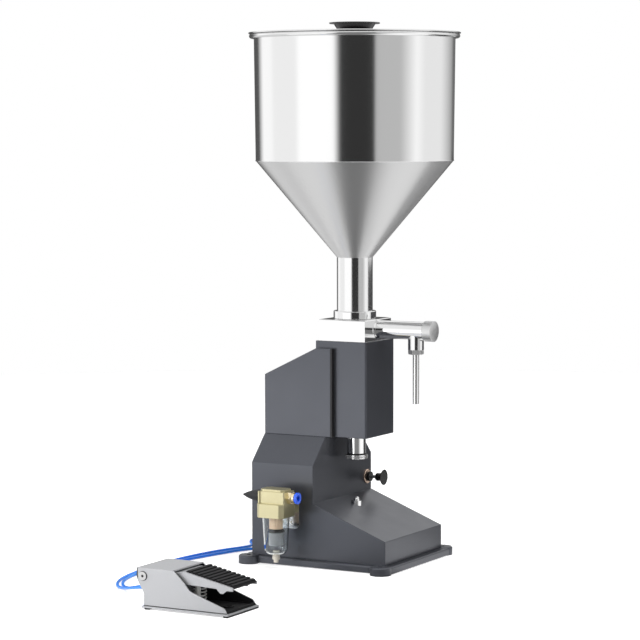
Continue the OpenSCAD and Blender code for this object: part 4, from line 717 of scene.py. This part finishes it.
def wire_coil(name, shader, low, axis, length, radius, wire):
    """A compression spring from its lower middle point along an axis, in millimetres."""
    low, axis = Vector(low), Vector(axis)
    side = axis.orthogonal().normalized()
    other = axis.cross(side)
    points, faces = [], []
    steps = SPRING_TURNS * SPRING_STEPS
    for i in range(steps + 1):
        angle = 2 * math.pi * i / SPRING_STEPS
        out = side * math.cos(angle) + other * math.sin(angle)
        middle = low + axis * (wire + (length - 2 * wire) * i / steps) + out * radius
        for k in range(WIRE_SIDES):
            turn = 2 * math.pi * k / WIRE_SIDES
            points.append(middle + (out * math.cos(turn) + axis * math.sin(turn)) * wire)
            if i < steps:
                here, beside = i * WIRE_SIDES, (k + 1) % WIRE_SIDES
                faces.append((here + k, here + beside, here + WIRE_SIDES + beside,
                              here + WIRE_SIDES + k))
    faces.append(tuple(range(WIRE_SIDES - 1, -1, -1)))
    faces.append(tuple(steps * WIRE_SIDES + k for k in range(WIRE_SIDES)))
    return new_piece(name, points, faces, shader, "frame", smooth=True)


def spring_for(node, axis, wire, shader):
    """Stands in for a spring node with a smoother wire coil."""
    least, most = corners(node)
    radius = (most[0] - least[0]) / 2
    along = axis.index(1)
    length = most[along] - least[along]
    low = [(a + b) / 2 for a, b in zip(least, most)]
    low[along] = least[along]
    made = wire_coil(node + "_wire", shader, low, axis, length, radius - wire,
                     wire)
    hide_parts(node)
    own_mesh(made)


def sleeve_groove_shade():
    ring, sleeve = round_node("adjusting_ring"), round_node("neck_sleeve")
    # A black band of painted shade where the groove above the ring is
    round_bar("sleeve_groove_shade", rubber_and_shade, (ring.x, ring.y, ring.top + GROOVE_LOW),
              (ring.x, ring.y, ring.top + GROOVE_HIGH), sleeve.radius + GROOVE_OUT,
              GROOVE_EDGE)


spring_for("return_spring", (0, 0, 1), RETURN_WIRE_R, zinc)
spring_for("outlet_spring", (0, 1, 0), OUTLET_WIRE_R,
           turned)
sleeve_groove_shade()

# Stage: turns are compass turns from the camera's side in degrees; to the left is negative
CAMERA_ANGLE = math.atan2(-math.cos(math.radians(CAMERA_YAW)),
                          -math.sin(math.radians(CAMERA_YAW)))

# Brightness of the studio all round, as mirror rays meet it
STUDIO = [(-180, 0.10), (-146, 0.10), (-131, 1.2), (-113, 1.2), (-106, 1.08), (-73, 1.08),
          (-66, 1.3), (-25, 1.3), (-17.5, 0.036), (21.5, 0.036), (23, 0.6), (53, 0.6),
          (75, 1.2), (87, 1.0), (116, 1.0), (147, 0.41), (153, 0.10), (180, 0.10)]
STUDIO_TOP = 1.3

# An even pale ceiling takes over where a mirror ray rises by these shares of its length
CEILING = 1.0
CEILING_LOW = 0.16
CEILING_HIGH = 0.36

# Light of the studio on everything that isn't a mirror
PLAIN_LEVEL = 0.45

# The floor: what it looks like itself, and what mirror rays meet in its place
FLOOR_R = 2.6
FLOOR_Z = -0.2 * MM
FLOOR_SIDES = 96
FLOOR_COLOR = (0.80, 0.80, 0.80, 1)
FLOOR_LIFT = 0.50
FLOOR_RING = [(-180, 0.75), (-34, 0.90), (-21, 0.25), (23, 0.25), (36, 0.80), (50, 1.25),
              (104, 1.25), (114, 0.50), (142, 0.50), (180, 0.75)]

CARD_BLACK = (0.06, 0.06, 0.062)


def level_by_turn(tree, vector, levels):
    """A grey for the compass turn of a vector, as a share of the studio's top brightness."""
    turn = tree.node("ShaderNodeVectorRotate", rotation_type="Z_AXIS")
    turn.inputs["Angle"].default_value = -CAMERA_ANGLE
    split = tree.node("ShaderNodeSeparateXYZ")
    compass = tree.node("ShaderNodeMath", operation="ARCTAN2")
    tree.link(vector, turn.inputs["Vector"])
    tree.link(turn.outputs[0], split.inputs[0])
    tree.link(split.outputs["Y"], compass.inputs[0])
    tree.link(split.outputs["X"], compass.inputs[1])
    return tree.ramp(tree.remap(compass.outputs[0], -math.pi, math.pi),
                     [((angle + 180) / 360, [level / STUDIO_TOP] * 3)
                      for angle, level in levels])


def make_floor():
    mesh = bmesh.new()
    bmesh.ops.create_circle(mesh, cap_ends=True, segments=FLOOR_SIDES, radius=FLOOR_R)
    data = bpy.data.meshes.new("floor")
    mesh.to_mesh(data)
    mesh.free()
    floor = add_object("floor", data)
    floor.location = (0, 0, FLOOR_Z)
    material = bpy.data.materials.new("floor_white")
    data.materials.append(material)

    tree = Nodes(material, empty=True)
    diffuse = tree.node("ShaderNodeBsdfDiffuse")
    diffuse.inputs["Color"].default_value = FLOOR_COLOR
    lifted = tree.node("ShaderNodeAddShader")
    tree.link(diffuse.outputs[0], lifted.inputs[0])
    tree.link(tree.shine("ShaderNodeEmission", FLOOR_LIFT), lifted.inputs[1])
    seen = tree.mix_shaders(tree.rays("Is Camera Ray"), diffuse.outputs[0],
                            lifted.outputs[0])
    coordinate = tree.node("ShaderNodeTexCoord")
    ring = level_by_turn(tree, coordinate.outputs["Object"], FLOOR_RING)
    mirrored = tree.mix_shaders(tree.rays("Is Glossy Ray", "Is Transmission Ray"), seen,
                                tree.shine("ShaderNodeEmission", STUDIO_TOP, ring))
    out = tree.node("ShaderNodeOutputMaterial")
    tree.link(mirrored, out.inputs["Surface"])


def make_world():
    """White where the camera looks, the studio where a mirror does, and plain elsewhere."""
    world = bpy.data.worlds.new("studio")
    bpy.context.scene.world = world
    tree = Nodes(world, empty=True)
    coordinate = tree.node("ShaderNodeTexCoord")
    walls = level_by_turn(tree, coordinate.outputs["Generated"], STUDIO)
    split = tree.node("ShaderNodeSeparateXYZ")
    tree.link(coordinate.outputs["Generated"], split.inputs[0])
    rise = tree.remap(split.outputs["Z"], CEILING_LOW, CEILING_HIGH)
    room = tree.mix(rise, walls, (CEILING / STUDIO_TOP,) * 3)
    lit = tree.mix_shaders(tree.rays("Is Glossy Ray"),
                           tree.shine("ShaderNodeBackground", PLAIN_LEVEL),
                           tree.shine("ShaderNodeBackground", STUDIO_TOP, room))
    shown = tree.mix_shaders(tree.rays("Is Camera Ray", "Is Transmission Ray"), lit,
                             tree.shine("ShaderNodeBackground", 1.0))
    out = tree.node("ShaderNodeOutputWorld")
    tree.link(shown, out.inputs["Surface"])


def toward(turn):
    """The level direction from the machine at a turn."""
    angle = CAMERA_ANGLE + math.radians(turn)
    return math.cos(angle), math.sin(angle)


def softbox(name, turn, height, distance, size, power, aim=0.3, mirrored=False):
    """An area light that looks at a height on the machine's axis."""
    data = bpy.data.lights.new(name, "AREA")
    data.shape = "RECTANGLE"
    data.size, data.size_y = size
    data.energy = power
    lamp = add_object(name, data)
    x, y = toward(turn)
    lamp.location = (distance * x, distance * y, height)
    lamp.rotation_mode = "QUATERNION"
    lamp.rotation_quaternion = (Vector((0, 0, aim)) - lamp.location).to_track_quat("-Z", "Y")
    lamp.visible_glossy = mirrored
    lamp.visible_camera = False


def dark_card(name, turn, distance, width, height):
    """An upright black card that only mirror rays meet, such as a studio puts up."""
    x, y = toward(turn)
    centre = Vector((distance * x, distance * y, 0))
    side = Vector((-y, x, 0)) * width / 2
    up = Vector((0, 0, height))
    data = bpy.data.meshes.new(name)
    data.from_pydata([centre - side, centre + side, centre + side + up, centre - side + up],
                     [], [(0, 1, 2, 3)])
    data.materials.append(Shader(name, CARD_BLACK, 0.9).material)
    card = add_object(name, data)
    card.visible_camera = False
    card.visible_diffuse = False
    card.visible_shadow = False
    card.visible_transmission = False


make_floor()
make_world()
dark_card("side_card", turn=122, distance=0.9, width=1.0, height=0.35)
softbox("key_light", turn=-65, height=0.8, distance=2.2, size=(1.6, 2.0), power=40)
softbox("fill_light", turn=80, height=1.2, distance=2.4, size=(1.4, 1.8), power=3)
softbox("top_light", turn=30, height=2.3, distance=0.8, size=(1.8, 1.8), power=50)
softbox("low_light", turn=-58, height=0.09, distance=0.8, size=(0.8, 0.14), power=0.5,
        aim=0.09, mirrored=True)
softbox("rear_light", turn=166, height=0.75, distance=1.9, size=(1.4, 0.5), power=0.15,
        aim=0.2, mirrored=True)
bpy.context.scene.view_settings.view_transform = "Standard"
